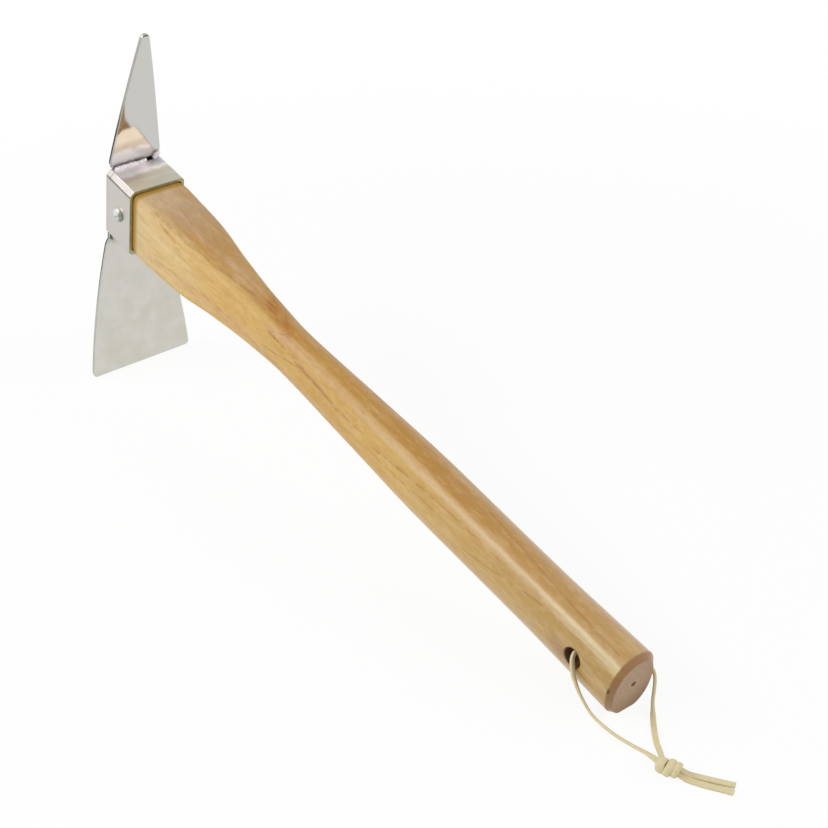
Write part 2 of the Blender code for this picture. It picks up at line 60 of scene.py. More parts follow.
# How the tool stands: its own X runs along the handle and its own Z the way the pick points
STAND_ANGLE = radians(13.4479)
STAND_PLACE = Vector((-0.190293, 0.0, 0.109191))
TO_WORLD = Matrix.Translation(STAND_PLACE) @ Matrix.Rotation(STAND_ANGLE, 4, "Y")

# Handle, as in the solid: places from its head end, with the section's height and width there, in mm
HANDLE_LENGTH = 400.0
HEAD_END = 1.5
CHAMFER = 2.2
SECTIONS = (
    (0, 35.2, 27.2), (0.8, 36.8, 28.8), (23.8, 36.8, 28.8), (25.2, 37.1, 29.1), (28.4, 38.7, 30.4),
    (44, 39.2, 30.6), (63.5, 38, 29.7), (98.5, 30, 23.5), (125, 26.6, 20.8), (153.5, 26.3, 20.6),
    (213.5, 29.5, 23.1), (270, 32.4, 25.4), (338, 32.3, 24.9), (400, 34.5, 26.4),
)
HEIGHTS = [(place, height) for place, height, width in SECTIONS]
WIDTHS = [(place, width) for place, height, width in SECTIONS]
RISES = ((0, 1), (26.2, 1), (98.5, 1.05), (213.5, 1), (300, 0.65), (400, 0.55))
SQUARENESSES = ((0, 12), (26.2, 11), (44, 7), (98.5, 5.2), (153.5, 2.2), (400, 2.2))
HOLE_PLACE = 377.0
HOLE_RADIUS = 4.75
HOLE_RISE = 0.3


# Building blocks for node trees


class Wire:
    """A socket that adds Math nodes when it is used in a sum."""

    def __init__(self, nodes, socket):
        self.nodes = nodes
        self.socket = socket

    def __getitem__(self, name):
        """Another output of the same node."""
        return Wire(self.nodes, self.socket.node.outputs[name])

    def math(self, operation, *others):
        return self.nodes.math(operation, self, *others)

    def __add__(self, other):
        return self.math("ADD", other)

    def __sub__(self, other):
        return self.math("SUBTRACT", other)

    def __rsub__(self, other):
        return self.nodes.math("SUBTRACT", other, self)

    def __mul__(self, other):
        return self.math("MULTIPLY", other)

    def __truediv__(self, other):
        return self.math("DIVIDE", other)

    def __rtruediv__(self, other):
        return self.nodes.math("DIVIDE", other, self)

    def __neg__(self):
        return self * -1.0

    __radd__ = __add__
    __rmul__ = __mul__

    def size(self):
        return self.math("ABSOLUTE")

    def power(self, other):
        return self.math("POWER", other)

    def length_with(self, other):
        """Length of the way that has this and another as its sides."""
        return (self.power(2.0) + other.power(2.0)).math("SQRT")

    def clamp(self):
        return self.nodes.add("ShaderNodeClamp", {"Value": self})

    def step(self, start, end):
        """0 before start and 1 past end, with a smooth change between, either way round."""
        values = {"Value": self, "From Min": start, "From Max": end}
        return self.nodes.add("ShaderNodeMapRange", values, interpolation_type="SMOOTHSTEP")

    def window(self, low, high, soft):
        """1 between low and high, fading to 0 over soft outside them."""
        return self.step(low - soft, low) * self.step(high + soft, high)


class Nodes:
    """Adds nodes to one tree."""

    def __init__(self, tree):
        self.tree = tree

    def add(self, kind, values=None, **settings):
        """New node as the wire of its first output, or as itself where it has none."""
        node = self.tree.nodes.new(kind)
        for name, value in settings.items():
            setattr(node, name, value)
        self.feed(node, values or {})
        shown = [socket for socket in node.outputs if socket.enabled]
        return Wire(self, shown[0]) if shown else node

    def feed(self, node, values):
        """Sets a node's sockets by value or by wire."""
        for name, value in values.items():
            if isinstance(value, Wire):
                self.tree.links.new(value.socket, node.inputs[name])
            else:
                node.inputs[name].default_value = value

    def math(self, operation, *values):
        return self.add("ShaderNodeMath", dict(enumerate(values)), operation=operation)

    def mix(self, share, first, second):
        """Colour between two colours."""
        return self.add("ShaderNodeMix", {0: share, 6: first, 7: second}, data_type="RGBA")

    def paint(self, colour, *coats):
        """Colour under thin coats, each given by how much it covers and its tone."""
        for share, tone in coats:
            colour = self.mix(share, colour, shade(*tone))
        return colour

    def noise(self, place, scale, detail=3, roughness=0.5):
        return self.add("ShaderNodeTexNoise", {
            "Vector": place, "Scale": scale, "Detail": detail, "Roughness": roughness,
        })

    def vector(self, x, y, z):
        return self.add("ShaderNodeCombineXYZ", {"X": x, "Y": y, "Z": z})

    def bump(self, height, strength, distance):
        return self.add("ShaderNodeBump", {"Height": height, "Strength": strength, "Distance": distance})

    def curve(self, points, value):
        """Value read off a curve through points, both from 0 to 1."""
        wire = self.add("ShaderNodeFloatCurve", {"Factor": 1.0, "Value": value})
        mapping = wire.socket.node.mapping
        spots = mapping.curves[0].points
        for spot, point in zip(spots, points):
            spot.location = point
        for point in points[len(spots):]:
            spots.new(*point)
        for spot in spots:
            spot.handle_type = "AUTO_CLAMPED"
        mapping.update()
        return wire

    def tones(self, stops, value):
        """Colour read off a ramp through (place, tone) stops."""
        wire = self.add("ShaderNodeValToRGB", {"Fac": value})
        marks = wire.socket.node.color_ramp.elements
        marks.remove(marks[-1])
        for number, (place, tone) in enumerate(stops):
            mark = marks.new(place) if number else marks[0]
            mark.position, mark.color = place, shade(*tone)
        return wire


def shade(red, green, blue):
    """Colour from the levels that a screen shows, 0 to 255."""
    levels = (red / 255, green / 255, blue / 255)
    linear = [level / 12.92 if level <= 0.04045 else ((level + 0.055) / 1.055) ** 2.4 for level in levels]
    return (*linear, 1.0)


def make_material(name, look, *options):
    """Material whose shader takes the values that a look gives."""
    material = bpy.data.materials.new(name)
    material.use_nodes = True
    nodes = Nodes(material.node_tree)
    nodes.feed(material.node_tree.nodes["Principled BSDF"], look(nodes, *options))
    return material


def tool_place(nodes):
    """Surface point as a vector in metres and as x, y and z in mm, both along the tool's own axes."""
    place = nodes.add("ShaderNodeMapping", {
        "Vector": nodes.add("ShaderNodeTexCoord")["Object"], "Location": STAND_PLACE,
        "Rotation": (0.0, STAND_ANGLE, 0.0),
    }, vector_type="TEXTURE")
    split = nodes.add("ShaderNodeSeparateXYZ", {"Vector": place})
    return place, *(split[axis] / MM for axis in "XYZ")


def shape_tree(name, **inputs):
    """New geometry tree with inputs of the given kinds, as (tree, its nodes, its input node)."""
    tree = bpy.data.node_groups.new(name, "GeometryNodeTree")
    tree.interface.new_socket("Geometry", in_out="OUTPUT", socket_type="NodeSocketGeometry")
    for label, kind in inputs.items():
        tree.interface.new_socket(label, in_out="INPUT", socket_type="NodeSocket" + kind)
    nodes = Nodes(tree)
    return tree, nodes, nodes.add("NodeGroupInput")


def close_tree(nodes, shape, material):
    """Ends a geometry tree in a real mesh of one material."""
    plain = nodes.add("GeometryNodeRealizeInstances", {"Geometry": shape})
    dressed = nodes.add("GeometryNodeSetMaterial", {"Geometry": plain, "Material": material})
    nodes.add("NodeGroupOutput", {"Geometry": dressed})


# Building blocks for meshes


TOOL_X, ACROSS, TOOL_Z = (axis.normalized() for axis in TO_WORLD.to_3x3().col)
TURNED_SIDES = 48
LARGE_FACE = 100


def tool_point(x, y, z):
    """Point of the tool's own frame, given in mm, where it stands."""
    return TO_WORLD @ (Vector((x, y, z)) * MM)


def give_materials(mesh, *materials):
    mesh.materials.clear()
    for material in materials:
        mesh.materials.append(material)


def place_new(name, data):
    thing = bpy.data.objects.new(name, data)
    bpy.context.collection.objects.link(thing)
    return thing


def add_piece(name, mesh, *materials):
    give_materials(mesh, *materials)
    return place_new(name, mesh)


def smooth_mesh(mesh, angle, flat_above=inf):
    """Shades smooth all but sharper bends, and faces above an area in mm2, which have to mirror flat."""
    mesh.shade_smooth()
    mesh.set_sharp_from_angle(angle=radians(angle))
    for face in mesh.polygons:
        if face.area > flat_above * MM * MM:
            face.use_smooth = False


def piece_from(edit, name, angle, *materials):
    """Piece from an edited mesh, smooth but for bends sharper than an angle in degrees."""
    bmesh.ops.recalc_face_normals(edit, faces=edit.faces[:])
    mesh = bpy.data.meshes.new(name)
    edit.to_mesh(mesh)
    edit.free()
    smooth_mesh(mesh, angle)
    return add_piece(name, mesh, *materials)


def fixed(piece):
    """Takes the result of a piece's modifiers as its own mesh."""
    graph = bpy.context.evaluated_depsgraph_get()
    mesh = bpy.data.meshes.new_from_object(piece.evaluated_get(graph))
    old = piece.data
    piece.modifiers.clear()
    piece.data = mesh
    bpy.data.meshes.remove(old)
    return mesh


def loft(rings, closed=False, edit=None):
    """Skin over rings of points: closed on itself, or with a cap at each end."""
    edit = edit or bmesh.new()
    loops = [[edit.verts.new(point) for point in ring] for ring in rings]
    pairs = list(zip(loops, loops[1:]))
    if closed:
        pairs.append((loops[-1], loops[0]))
    for near, far in pairs:
        for here in range(len(near)):
            after = (here + 1) % len(near)
            edit.faces.new((near[here], near[after], far[after], far[here]))
    if not closed:
        edit.faces.new(loops[0][::-1])
        edit.faces.new(loops[-1])
    return edit


def glide(stations, place):
    """Smooth curve through (place, value) stations that never overshoots them."""
    place = min(max(place, stations[0][0]), stations[-1][0])
    slopes = [(b[1] - a[1]) / (b[0] - a[0]) for a, b in zip(stations, stations[1:])]
    leans = [0.0]
    for before, after in zip(slopes, slopes[1:]):
        leans.append(2 * before * after / (before + after) if before * after > 0 else 0.0)
    leans.append(slopes[-1])
    for number, (low, high) in enumerate(zip(stations, stations[1:])):
        if place <= high[0]:
            run = high[0] - low[0]
            t = (place - low[0]) / run
            share = 2 * t**3 - 3 * t**2 + 1
            bend = (t**3 - 2 * t**2 + t) * leans[number] + (t**3 - t**2) * leans[number + 1]
            return share * low[1] + (1 - share) * high[1] + bend * run


# Camera


def make_camera():
    data = bpy.data.cameras.new("camera")
    data.lens = 76.1
    camera = place_new("camera", data)
    right = Vector((0.619038, 0.784906, -0.026731))
    up = Vector((-0.391674, 0.338048, 0.855754))
    back = right.cross(up)
    turn = Matrix((right, up, back)).transposed().to_4x4()
    camera.matrix_world = Matrix.Translation((0.59696, -0.41307, 0.49254)) @ turn
    bpy.context.scene.camera = camera


# Lace


LACE_WIDTH = 2.5
LACE_THICKNESS = 1.3
LACE_STEPS = 8
LACE_SHARP = 50
LACE_SPREAD = 0.2
SPREAD_FROM = 0.72
SPREAD_RUN = 0.12

# Route points in mm, each with the way across the flat of the lace where it changes
LEFT_HALF = (
    (177.6, -0.1, 22.2, (0, 0, 1)), (177.4, -4, 22.8), (176.6, -8, 23.9),
    (176.4, -11, 23.6, (0, -0.3, 1)), (177, -12.9, 22, (0.1, -0.8, 0.7)),
    (178, -13.8, 18.9, (0.15, -0.95, 0.3)), (179.2, -14.3, 15.6, (0.2, -0.95, 0.2)),
    (181, -14.6, 12.4, (0.4, -0.8, 0.45)), (183.2, -14.8, 9.3, (0.55, -0.65, 0.5)),
    (186.1, -14.9, 6.3, (0.65, -0.55, 0.52)), (189, -14.9, 3.7, (0.68, -0.52, 0.52)), (192.8, -15.1, 1.9),
    (197.3, -15.4, 1.45), (202.6, -15.8, 1.4), (208.9, -15.6, 1.4), (216, -14.8, 1.45, (0.68, -0.52, 0.5)),
    (222.9, -14, 1.9, (0.68, -0.52, 0.4)), (228.6, -14.8, 3.2, (0.55, -0.75, 0.2)),
    (232.4, -16, 4.3, (0.35, -0.9, 0.1)), (236, -15.2, 4, (0.33, -0.9, 0)),
    (240, -13.4, 2.6, (0.4, -0.9, 0)), (243.5, -12.1, 1.3, (0.42, -0.9, 0)),
    (246.7, -10.4, 0.72, (0.45, -0.89, 0)), (251.6, -8, 0.67), (256.6, -5.1, 0.67, (0.5, -0.86, 0)),
    (261, -2.8, 0.67),
)
RIGHT_HALF = (
    (177.6, 0.1, 22.2, (0, 0, 1)), (177.9, 4, 21), (178.3, 8, 19.9, (0.1, 0, 1)),
    (178.8, 11.5, 19.3, (0.2, -0.1, 1)), (180, 14, 19, (0.3, -0.3, 1)),
    (182.3, 15.8, 18.4, (0.1, -0.3, 1)), (185.4, 16.7, 17.3), (188.9, 17.1, 15.6, (0.2, -0.3, 1)),
    (193, 17, 13.3, (0.4, -0.35, 0.8)), (196.5, 16.5, 11, (0.6, -0.4, 0.7)),
    (198.9, 14.7, 8.6, (0.66, -0.45, 0.6)), (201, 12.2, 6.2, (0.68, -0.5, 0.55)), (203.1, 9.6, 4.1),
    (205.8, 6.9, 2.4, (0.68, -0.3, 0.6)), (209.1, 3.9, 1.4, (0.68, 0.3, 0.5)),
    (212.7, 0.7, 1.1, (0.64, 0.7, 0.42)), (216.9, -2.8, 1.05, (0.64, 0.72, 0.4)), (221.5, -6.2, 1.1),
    (226, -9.1, 1.9, (0.66, 0.74, 0.3)), (229.5, -11.9, 3.4, (0.6, 0.75, 0.25)),
    (232.6, -13.8, 4.6, (0.4, 0.85, 0.2)), (236.6, -13.2, 4.6, (-0.3, 0.9, 0)),
    (240.4, -11.3, 3, (-0.5, 0.86, 0)), (242.6, -9.6, 1.5, (-0.6, 0.8, 0)), (245.2, -7.4, 0.75),
    (249.8, -4.6, 0.67, (-0.54, 0.84, 0)), (254.3, -1.9, 0.67, (-0.52, 0.86, 0)), (258.6, 0.7, 0.67),
)


def smooth_route(points, steps):
    """Points of the smooth curve through a route, with the same number of steps between each two."""
    ends = [2 * points[0] - points[1], *points, 2 * points[-1] - points[-2]]
    fine = []
    for before, start, end, after in zip(ends, ends[1:], ends[2:], ends[3:]):
        for step in range(steps):
            t = step / steps
            fine.append(0.5 * (
                2 * start + (end - before) * t + (2 * before - 5 * start + 4 * end - after) * t**2
                + (3 * start - before - 3 * end + after) * t**3
            ))
    fine.append(points[-1])
    return fine


def strip_section(width, thickness, crown=0.0):
    """Outline of a flat strip as (across, up), with softened corners and a raised middle."""
    half = width / 2
    thick = thickness / 2
    soft = min(thick, half) * 0.55
    nick = soft * 0.3
    right = [
        (half / 2, thick + crown * 0.7), (half - soft, thick), (half - nick, thick - nick),
        (half, thick - soft), (half, -thick + soft), (half - nick, -thick + nick), (half - soft, -thick),
    ]
    left = [(-across, up) for across, up in right[::-1]]
    return [*left[5:], (0, thick + crown), *right, (0, -thick), *left[:5]]


def strip(route, across, outline, closed=False, spread=0.0):
    """Rings of an outline carried along a route, its way across given at each point, wider at the end."""
    rings = []
    count = len(route)
    for number, point in enumerate(route):
        if closed:
            ahead = route[(number + 1) % count] - route[number - 1]
        else:
            ahead = route[min(number + 1, count - 1)] - route[max(number - 1, 0)]
        ahead.normalize()
        side = across[number] - ahead * across[number].dot(ahead)
        side.normalize()
        up = ahead.cross(side)
        wide = 1.0 + spread * min(max((number / count - SPREAD_FROM) / SPREAD_RUN, 0.0), 1.0)
        rings.append([point + side * a * wide + up * b for a, b in outline])
    return rings


def make_lace(name, half, leather):
    points = [Vector(row[:3]) * MM for row in half]
    ways = []
    for row in half:
        ways.append(Vector(row[3]).normalized() if row[3:] else ways[-1])
    route = smooth_route(points, LACE_STEPS)
    across = smooth_route(ways, LACE_STEPS)
    outline = strip_section(LACE_WIDTH * MM, LACE_THICKNESS * MM)
    edit = loft(strip(route, across, outline, spread=LACE_SPREAD))
    return piece_from(edit, name, LACE_SHARP, leather), route


def suede(nodes):
    """Pale suede with a short nap and soft clouds of tone."""
    place = nodes.add("ShaderNodeTexCoord")["Object"]
    cloud = nodes.noise(place, 420)
    nap = nodes.noise(place, 5200, 2, 0.7)
    colour = nodes.paint(
        shade(222, 211, 164), (cloud.step(0.3, 0.7), (230, 214, 174)),
        (nap.step(0.35, 0.75) * 0.16, (190, 172, 122)),
    )
    return {
        "Base Color": colour, "Roughness": 0.92, "Sheen Weight": 0.25, "Sheen Roughness": 0.5,
        "Normal": nodes.bump(nap + cloud * 0.5, 0.35, 0.00012),
    }


KNOT_MIDDLE = Vector((0.237, -0.0143, 0.0037))
KNOT_HEADING = radians(23)
KNOT_STEPS = 40
KNOT_CROWN = 0.45
TABLE_GAP = 0.03

# Turns of the lace round the knot: place along it, radius, width, tilt and lean in degrees
KNOT_TURNS = (
    (-3.4, 2.4, 4, -6, 8),
    (-0.3, 2.85, 3.4, 19, 0),
    (2.6, 2.45, 3, 17, 0),
)


def make_knot(leather):
    """Three flat turns drawn tight round the strands."""
    heading = Vector((cos(KNOT_HEADING), sin(KNOT_HEADING), 0))
    aside = Vector((-heading.y, heading.x, 0))
    rise = Vector((0, 0, 1))
    edit = bmesh.new()
    for place, radius, width, tilt, lean in KNOT_TURNS:
        outline = strip_section(width * MM, LACE_THICKNESS * MM, KNOT_CROWN * MM)
        route = []
        slope, skew = (tan(radians(angle)) for angle in (tilt, lean))
        for step in range(KNOT_STEPS):
            turn = 2 * pi * step / KNOT_STEPS
            slant = slope * sin(turn) + skew * cos(turn)
            round_way = aside * cos(turn) + rise * sin(turn)
            route.append(KNOT_MIDDLE + heading * (place + radius * slant) * MM + round_way * radius * MM)
        loft(strip(route, [heading] * KNOT_STEPS, outline, closed=True), closed=True, edit=edit)
    for vert in edit.verts:
        vert.co.z = max(vert.co.z, TABLE_GAP * MM)
    return piece_from(edit, "knot_turns", LACE_SHARP, leather)


# Handle


CURVE_POINTS = 44
HANDLE_RINGS = 340
HANDLE_SIDES = 97

# Steps of the butt's chamfer in mm: how far in, how far out along the handle, and how far down
BUTT_STEPS = ((0.5, 0.3, 0.2), (1.5, 1.75, 1.5), (0.3, 0.15, 0.1))
BUTT_LEFTWARDS = 0.35
HOLE_WEAR = 0.8
MOUTH_STEPS = 5


def share_curve(stations, low, high):
    """Stations as a float curve's points, resampled closely."""
    shares = [number / CURVE_POINTS for number in range(CURVE_POINTS + 1)]
    return [(share, (glide(stations, share * HANDLE_LENGTH) - low) / (high - low)) for share in shares]


def shaft_tree():
    """Tree that rolls a grid into the handle: rounded square at the head, softening into an oval."""
    tree, nodes, given = shape_tree(
        "shaft", Rings="Int", Sides="Int", Start="Float", Length="Float", Wood="Material",
    )
    grid = nodes.add("GeometryNodeMeshGrid", {"Vertices X": given["Rings"], "Vertices Y": given["Sides"]})
    spot = nodes.add("ShaderNodeSeparateXYZ", {"Vector": nodes.add("GeometryNodeInputPosition")})
    share = spot["X"] + 0.5
    turn = spot["Y"] * (2 * pi)
    curve = {}
    for name, stations, low, high in (
        ("height", HEIGHTS, 20, 40), ("width", WIDTHS, 15, 35), ("rise", RISES, 0, 2),
        ("square", SQUARENESSES, 2, 14),
    ):
        curve[name] = nodes.curve(share_curve(stations, low, high), share) * (high - low) + low
    cosine, sine = turn.math("COSINE"), turn.math("SINE")
    bulk = cosine.size().power(curve["square"]) + sine.size().power(curve["square"])
    reach = bulk.power(-1.0 / curve["square"])
    along = given["Start"] + share * given["Length"]
    lift = sine * curve["height"] * (MM / 2) * reach + (curve["rise"] - 1.0) * MM
    aside = cosine * curve["width"] * (MM / 2) * reach
    where = nodes.vector(along, aside, lift)
    rolled = nodes.add("GeometryNodeSetPosition", {"Geometry": grid, "Position": where})
    closed = nodes.add("GeometryNodeMergeByDistance", {"Geometry": rolled, "Distance": 0.00001})
    stood = nodes.add("GeometryNodeTransform", {
        "Geometry": closed, "Translation": STAND_PLACE, "Rotation": (0.0, STAND_ANGLE, 0.0),
    })
    close_tree(nodes, stood, given["Wood"])
    return tree


def grow(name, tree, **values):
    """Object made by a geometry tree, with the tree's inputs set by name."""
    piece = add_piece(name, bpy.data.meshes.new(name))
    step = piece.modifiers.new("shape", "NODES")
    step.node_group = tree
    for label, value in values.items():
        step[tree.interface.items_tree[label].identifier] = value
    fixed(piece)
    return piece


def turned(name, place, rise, half, angle, *materials):
    """Piece turned round an axis across the tool, from the (distance, radius) pairs of one half in mm."""
    middle = tool_point(place, 0, rise)
    aside = ACROSS.orthogonal().normalized()
    other = ACROSS.cross(aside).normalized()
    turns = [2 * pi * step / TURNED_SIDES for step in range(TURNED_SIDES)]
    profile = [(-along, radius) for along, radius in half[::-1]] + half
    edit = loft([
        [middle + (ACROSS * along + (aside * cos(t) + other * sin(t)) * radius) * MM for t in turns]
        for along, radius in profile
    ])
    return piece_from(edit, name, angle, *materials)


def make_handle(wood, end_grain):
    """Shaft with its ends closed, the butt chamfered unevenly and a hole through it."""
    piece = grow(
        "shaped_handle", shaft_tree(), Rings=HANDLE_RINGS, Sides=HANDLE_SIDES, Start=HEAD_END * MM,
        Length=(HANDLE_LENGTH - CHAMFER) * MM, Wood=wood,
    )
    edit = bmesh.new()
    edit.from_mesh(piece.data)
    bmesh.ops.holes_fill(edit, edges=[edge for edge in edit.edges if edge.is_boundary], sides=0)
    bmesh.ops.recalc_face_normals(edit, faces=edit.faces[:])
    caps = [face for face in edit.faces if len(face.verts) == HANDLE_SIDES - 1]
    head, butt = sorted(caps, key=lambda face: face.calc_center_median().x)
    for face in edit.faces:
        face.material_index = 0
    head.material_index = 1
    for inwards, outwards, drop in BUTT_STEPS:
        bmesh.ops.inset_region(edit, faces=[butt], thickness=inwards * MM, depth=outwards * MM)
        for vert in butt.verts:
            vert.co += (ACROSS * BUTT_LEFTWARDS - TOOL_Z) * drop * MM
    for vert in edit.verts:  # worn flat where the tool stands on its butt
        vert.co += TOOL_Z * (max(0.0, -vert.co.z) / TOOL_Z.z)
    butt.material_index = 1
    give_materials(piece.data, wood, end_grain)
    edit.to_mesh(piece.data)
    edit.free()
    hole = make_hole_cutter()
    step = piece.modifiers.new("bore", "BOOLEAN")
    step.operation = "DIFFERENCE"
    step.solver = "EXACT"
    step.object = hole
    mesh = fixed(piece)
    bpy.data.objects.remove(hole, do_unlink=True)
    smooth_mesh(mesh, 40, LARGE_FACE)
    return piece


def make_hole_cutter():
    """Cross hole with worn, rounded mouths."""
    side = glide(WIDTHS, HOLE_PLACE - HEAD_END) / 2
    mouth = []
    for step in range(MOUTH_STEPS + 1):
        turn = pi / 2 * step / MOUTH_STEPS
        mouth.append((side - HOLE_WEAR * (1 - sin(turn)), HOLE_RADIUS + HOLE_WEAR * (1 - cos(turn))))
    mouth.append((side + 1.5, HOLE_RADIUS + HOLE_WEAR + 1.2))
    return turned("hole_cutter", HOLE_PLACE, HOLE_RISE, mouth, 35)


# Wood colours along the handle, as (share of its length, colour)
FLANK_TONES = (
    (0.07, (209, 184, 134)), (0.16, (216, 186, 126)), (0.26, (211, 173, 102)), (0.36, (205, 168, 98)),
    (0.46, (202, 162, 92)), (0.62, (206, 169, 98)), (0.8, (190, 152, 77)), (1, (173, 138, 66)),
)
TOP_TONES = (
    (0.07, (189, 160, 120)), (0.14, (184, 152, 114)), (0.2, (185, 146, 92)), (0.27, (192, 154, 102)),
    (0.34, (184, 139, 70)), (0.45, (188, 142, 70)), (0.7, (178, 131, 60)), (0.85, (182, 138, 66)),
    (1, (185, 147, 82)),
)

# Where the darker top band ends, as (share of the length, degrees from the top / 100)
BAND_EDGE = (
    (0, 0.31), (0.15, 0.3), (0.2, 0.27), (0.27, 0.22), (0.34, 0.2), (0.42, 0.18), (0.55, 0.21),
    (0.68, 0.25), (1, 0.27),
)

# Patches of figure: middle (mm, degrees), half size, tilt in degrees per mm, softness, colour, strength
WOOD_PATCHES = (
    ((36, 8), (12, 27), 0, 0.5, (202, 174, 140), 0.55),
    ((35, -34), (9, 15), 0, 0.8, (184, 138, 82), 0.65),
    ((66, 6), (16, 9), -0.3, 0.9, (200, 158, 122), 0.45),
    ((84, 18), (32, 8), -0.25, 0.9, (194, 145, 76), 0.7),
    ((84, 40), (44, 9), -0.1, 0.9, (214, 176, 112), 0.8),
    ((103, -6), (26, 7), -0.35, 0.9, (204, 164, 128), 0.6),
    ((58, 66), (30, 8), 0.1, 0.9, (222, 196, 148), 0.5),
    ((141, 0), (18, 21), 0.9, 0.6, (184, 134, 66), 0.8),
    ((131.5, -3), (7, 15), 1.4, 0.9, (172, 110, 38), 0.95),
    ((149, 9), (6.5, 13), 1.4, 0.9, (172, 112, 46), 0.9),
    ((152, 33), (16, 12), -0.3, 0.9, (200, 158, 118), 0.8),
    ((181, 54), (26, 8), 0.45, 0.9, (180, 132, 70), 0.9),
    ((262, 52), (40, 5), -0.2, 0.9, (184, 146, 88), 0.5),
    ((330, 52), (50, 6), -0.1, 0.9, (182, 144, 88), 0.55),
    ((140, 116), (85, 12), 0, 0.8, (202, 162, 120), 0.6),
    ((120, 98), (40, 8), 0.05, 0.9, (206, 166, 112), 0.5),
    ((369, 100), (7, 22), 1, 0.9, (146, 102, 66), 0.8),
)

# Lines of late wood: (mm, degrees) points, width in degrees, strength, side of the soft edge
GRAIN_LINES = (
    (((143, 44), (153, 46), (166, 51), (176, 52), (191, 58), (206, 61), (226, 58)), 7, 0.62, 1),
    (((141, 91), (151, 80), (159, 71), (166, 61), (175, 51)), 5.5, 0.6, 1),
    (((232, 66), (250, 57), (272, 51), (300, 46), (330, 43)), 6, 0.4, 1),
    (((300, 92), (325, 70), (350, 50), (375, 46), (399, 44)), 5, 0.35, 1),
    (((200, 96), (230, 84), (262, 74), (300, 68)), 5, 0.28, -1),
    (((44, 37), (60, 36), (72, 34), (92, 28), (110, 18), (126, 6)), 9, 0.3, -1),
    (((44, 38), (54, 41), (64, 45), (74, 51)), 4, 0.4, 1),
    (((44, 118), (70, 104), (100, 103), (130, 110), (160, 112)), 9, 0.2, 1),
    (((126, -24), (132, -8), (139, 8), (147, 23)), 8, 0.5, -1),
    (((138, -22), (146, 0), (152, 14), (157, 24)), 6, 0.4, 1),
    (((356, 84), (362, 96), (370, 104), (382, 106)), 5, 0.45, 1),
    (((352, 74), (360, 71), (370, 68), (384, 68), (396, 72)), 4, 0.3, -1),
    (((300, -6), (330, 4), (360, 13), (399, 20)), 5, 0.5, 1),
    (((143, 43), (147, 34), (151, 27), (156, 22)), 5, 0.55, 1),
)


def wood_patch(x, angle, warp, middle, half, tilt, soft):
    """Soft-edged patch on the handle, its outline stirred by the warp."""
    along = (x - middle[0]) / half[0]
    turn = (angle - middle[1] - (x - middle[0]) * tilt) / half[1]
    return (along.length_with(turn) + warp).step(1.0 + soft * 0.4, 1.0 - soft)


def grain_line(nodes, x, angle, points, width, side):
    """Line along a curve on the handle, sharp on one side and fading on the other."""
    start, end = points[0][0], points[-1][0]
    curve = [((place - start) / (end - start), (turn + 60) / 200) for place, turn in points]
    off = (angle - (nodes.curve(curve, (x - start) / (end - start)) * 200.0 - 60.0)) * side
    return off.step(-1.9, 0) * off.step(width, 0.0) * x.window(start + 3.0, end - 6.0, 6.0)


# Noise in the wood, broad to fine: scale along it per mm, shift, scale across it, detail, roughness
WOOD_NOISE = (
    (0.009, 0, 0.07, 3, 0.6), (0.042, 3, 0.21, 3, 0.6), (0.05, 0, 0.56, 4, 0.65),
    (0.18, 0, 0.48, 3, 0.6), (0.3, 0, 1.7, 3, 0.65), (0.62, 0, 1.3, 2, 0.6),
)
GRAIN_TWIST = 0.0012
GRAIN_TONE = (158, 110, 56)
PITH = (0.5, -0.1)


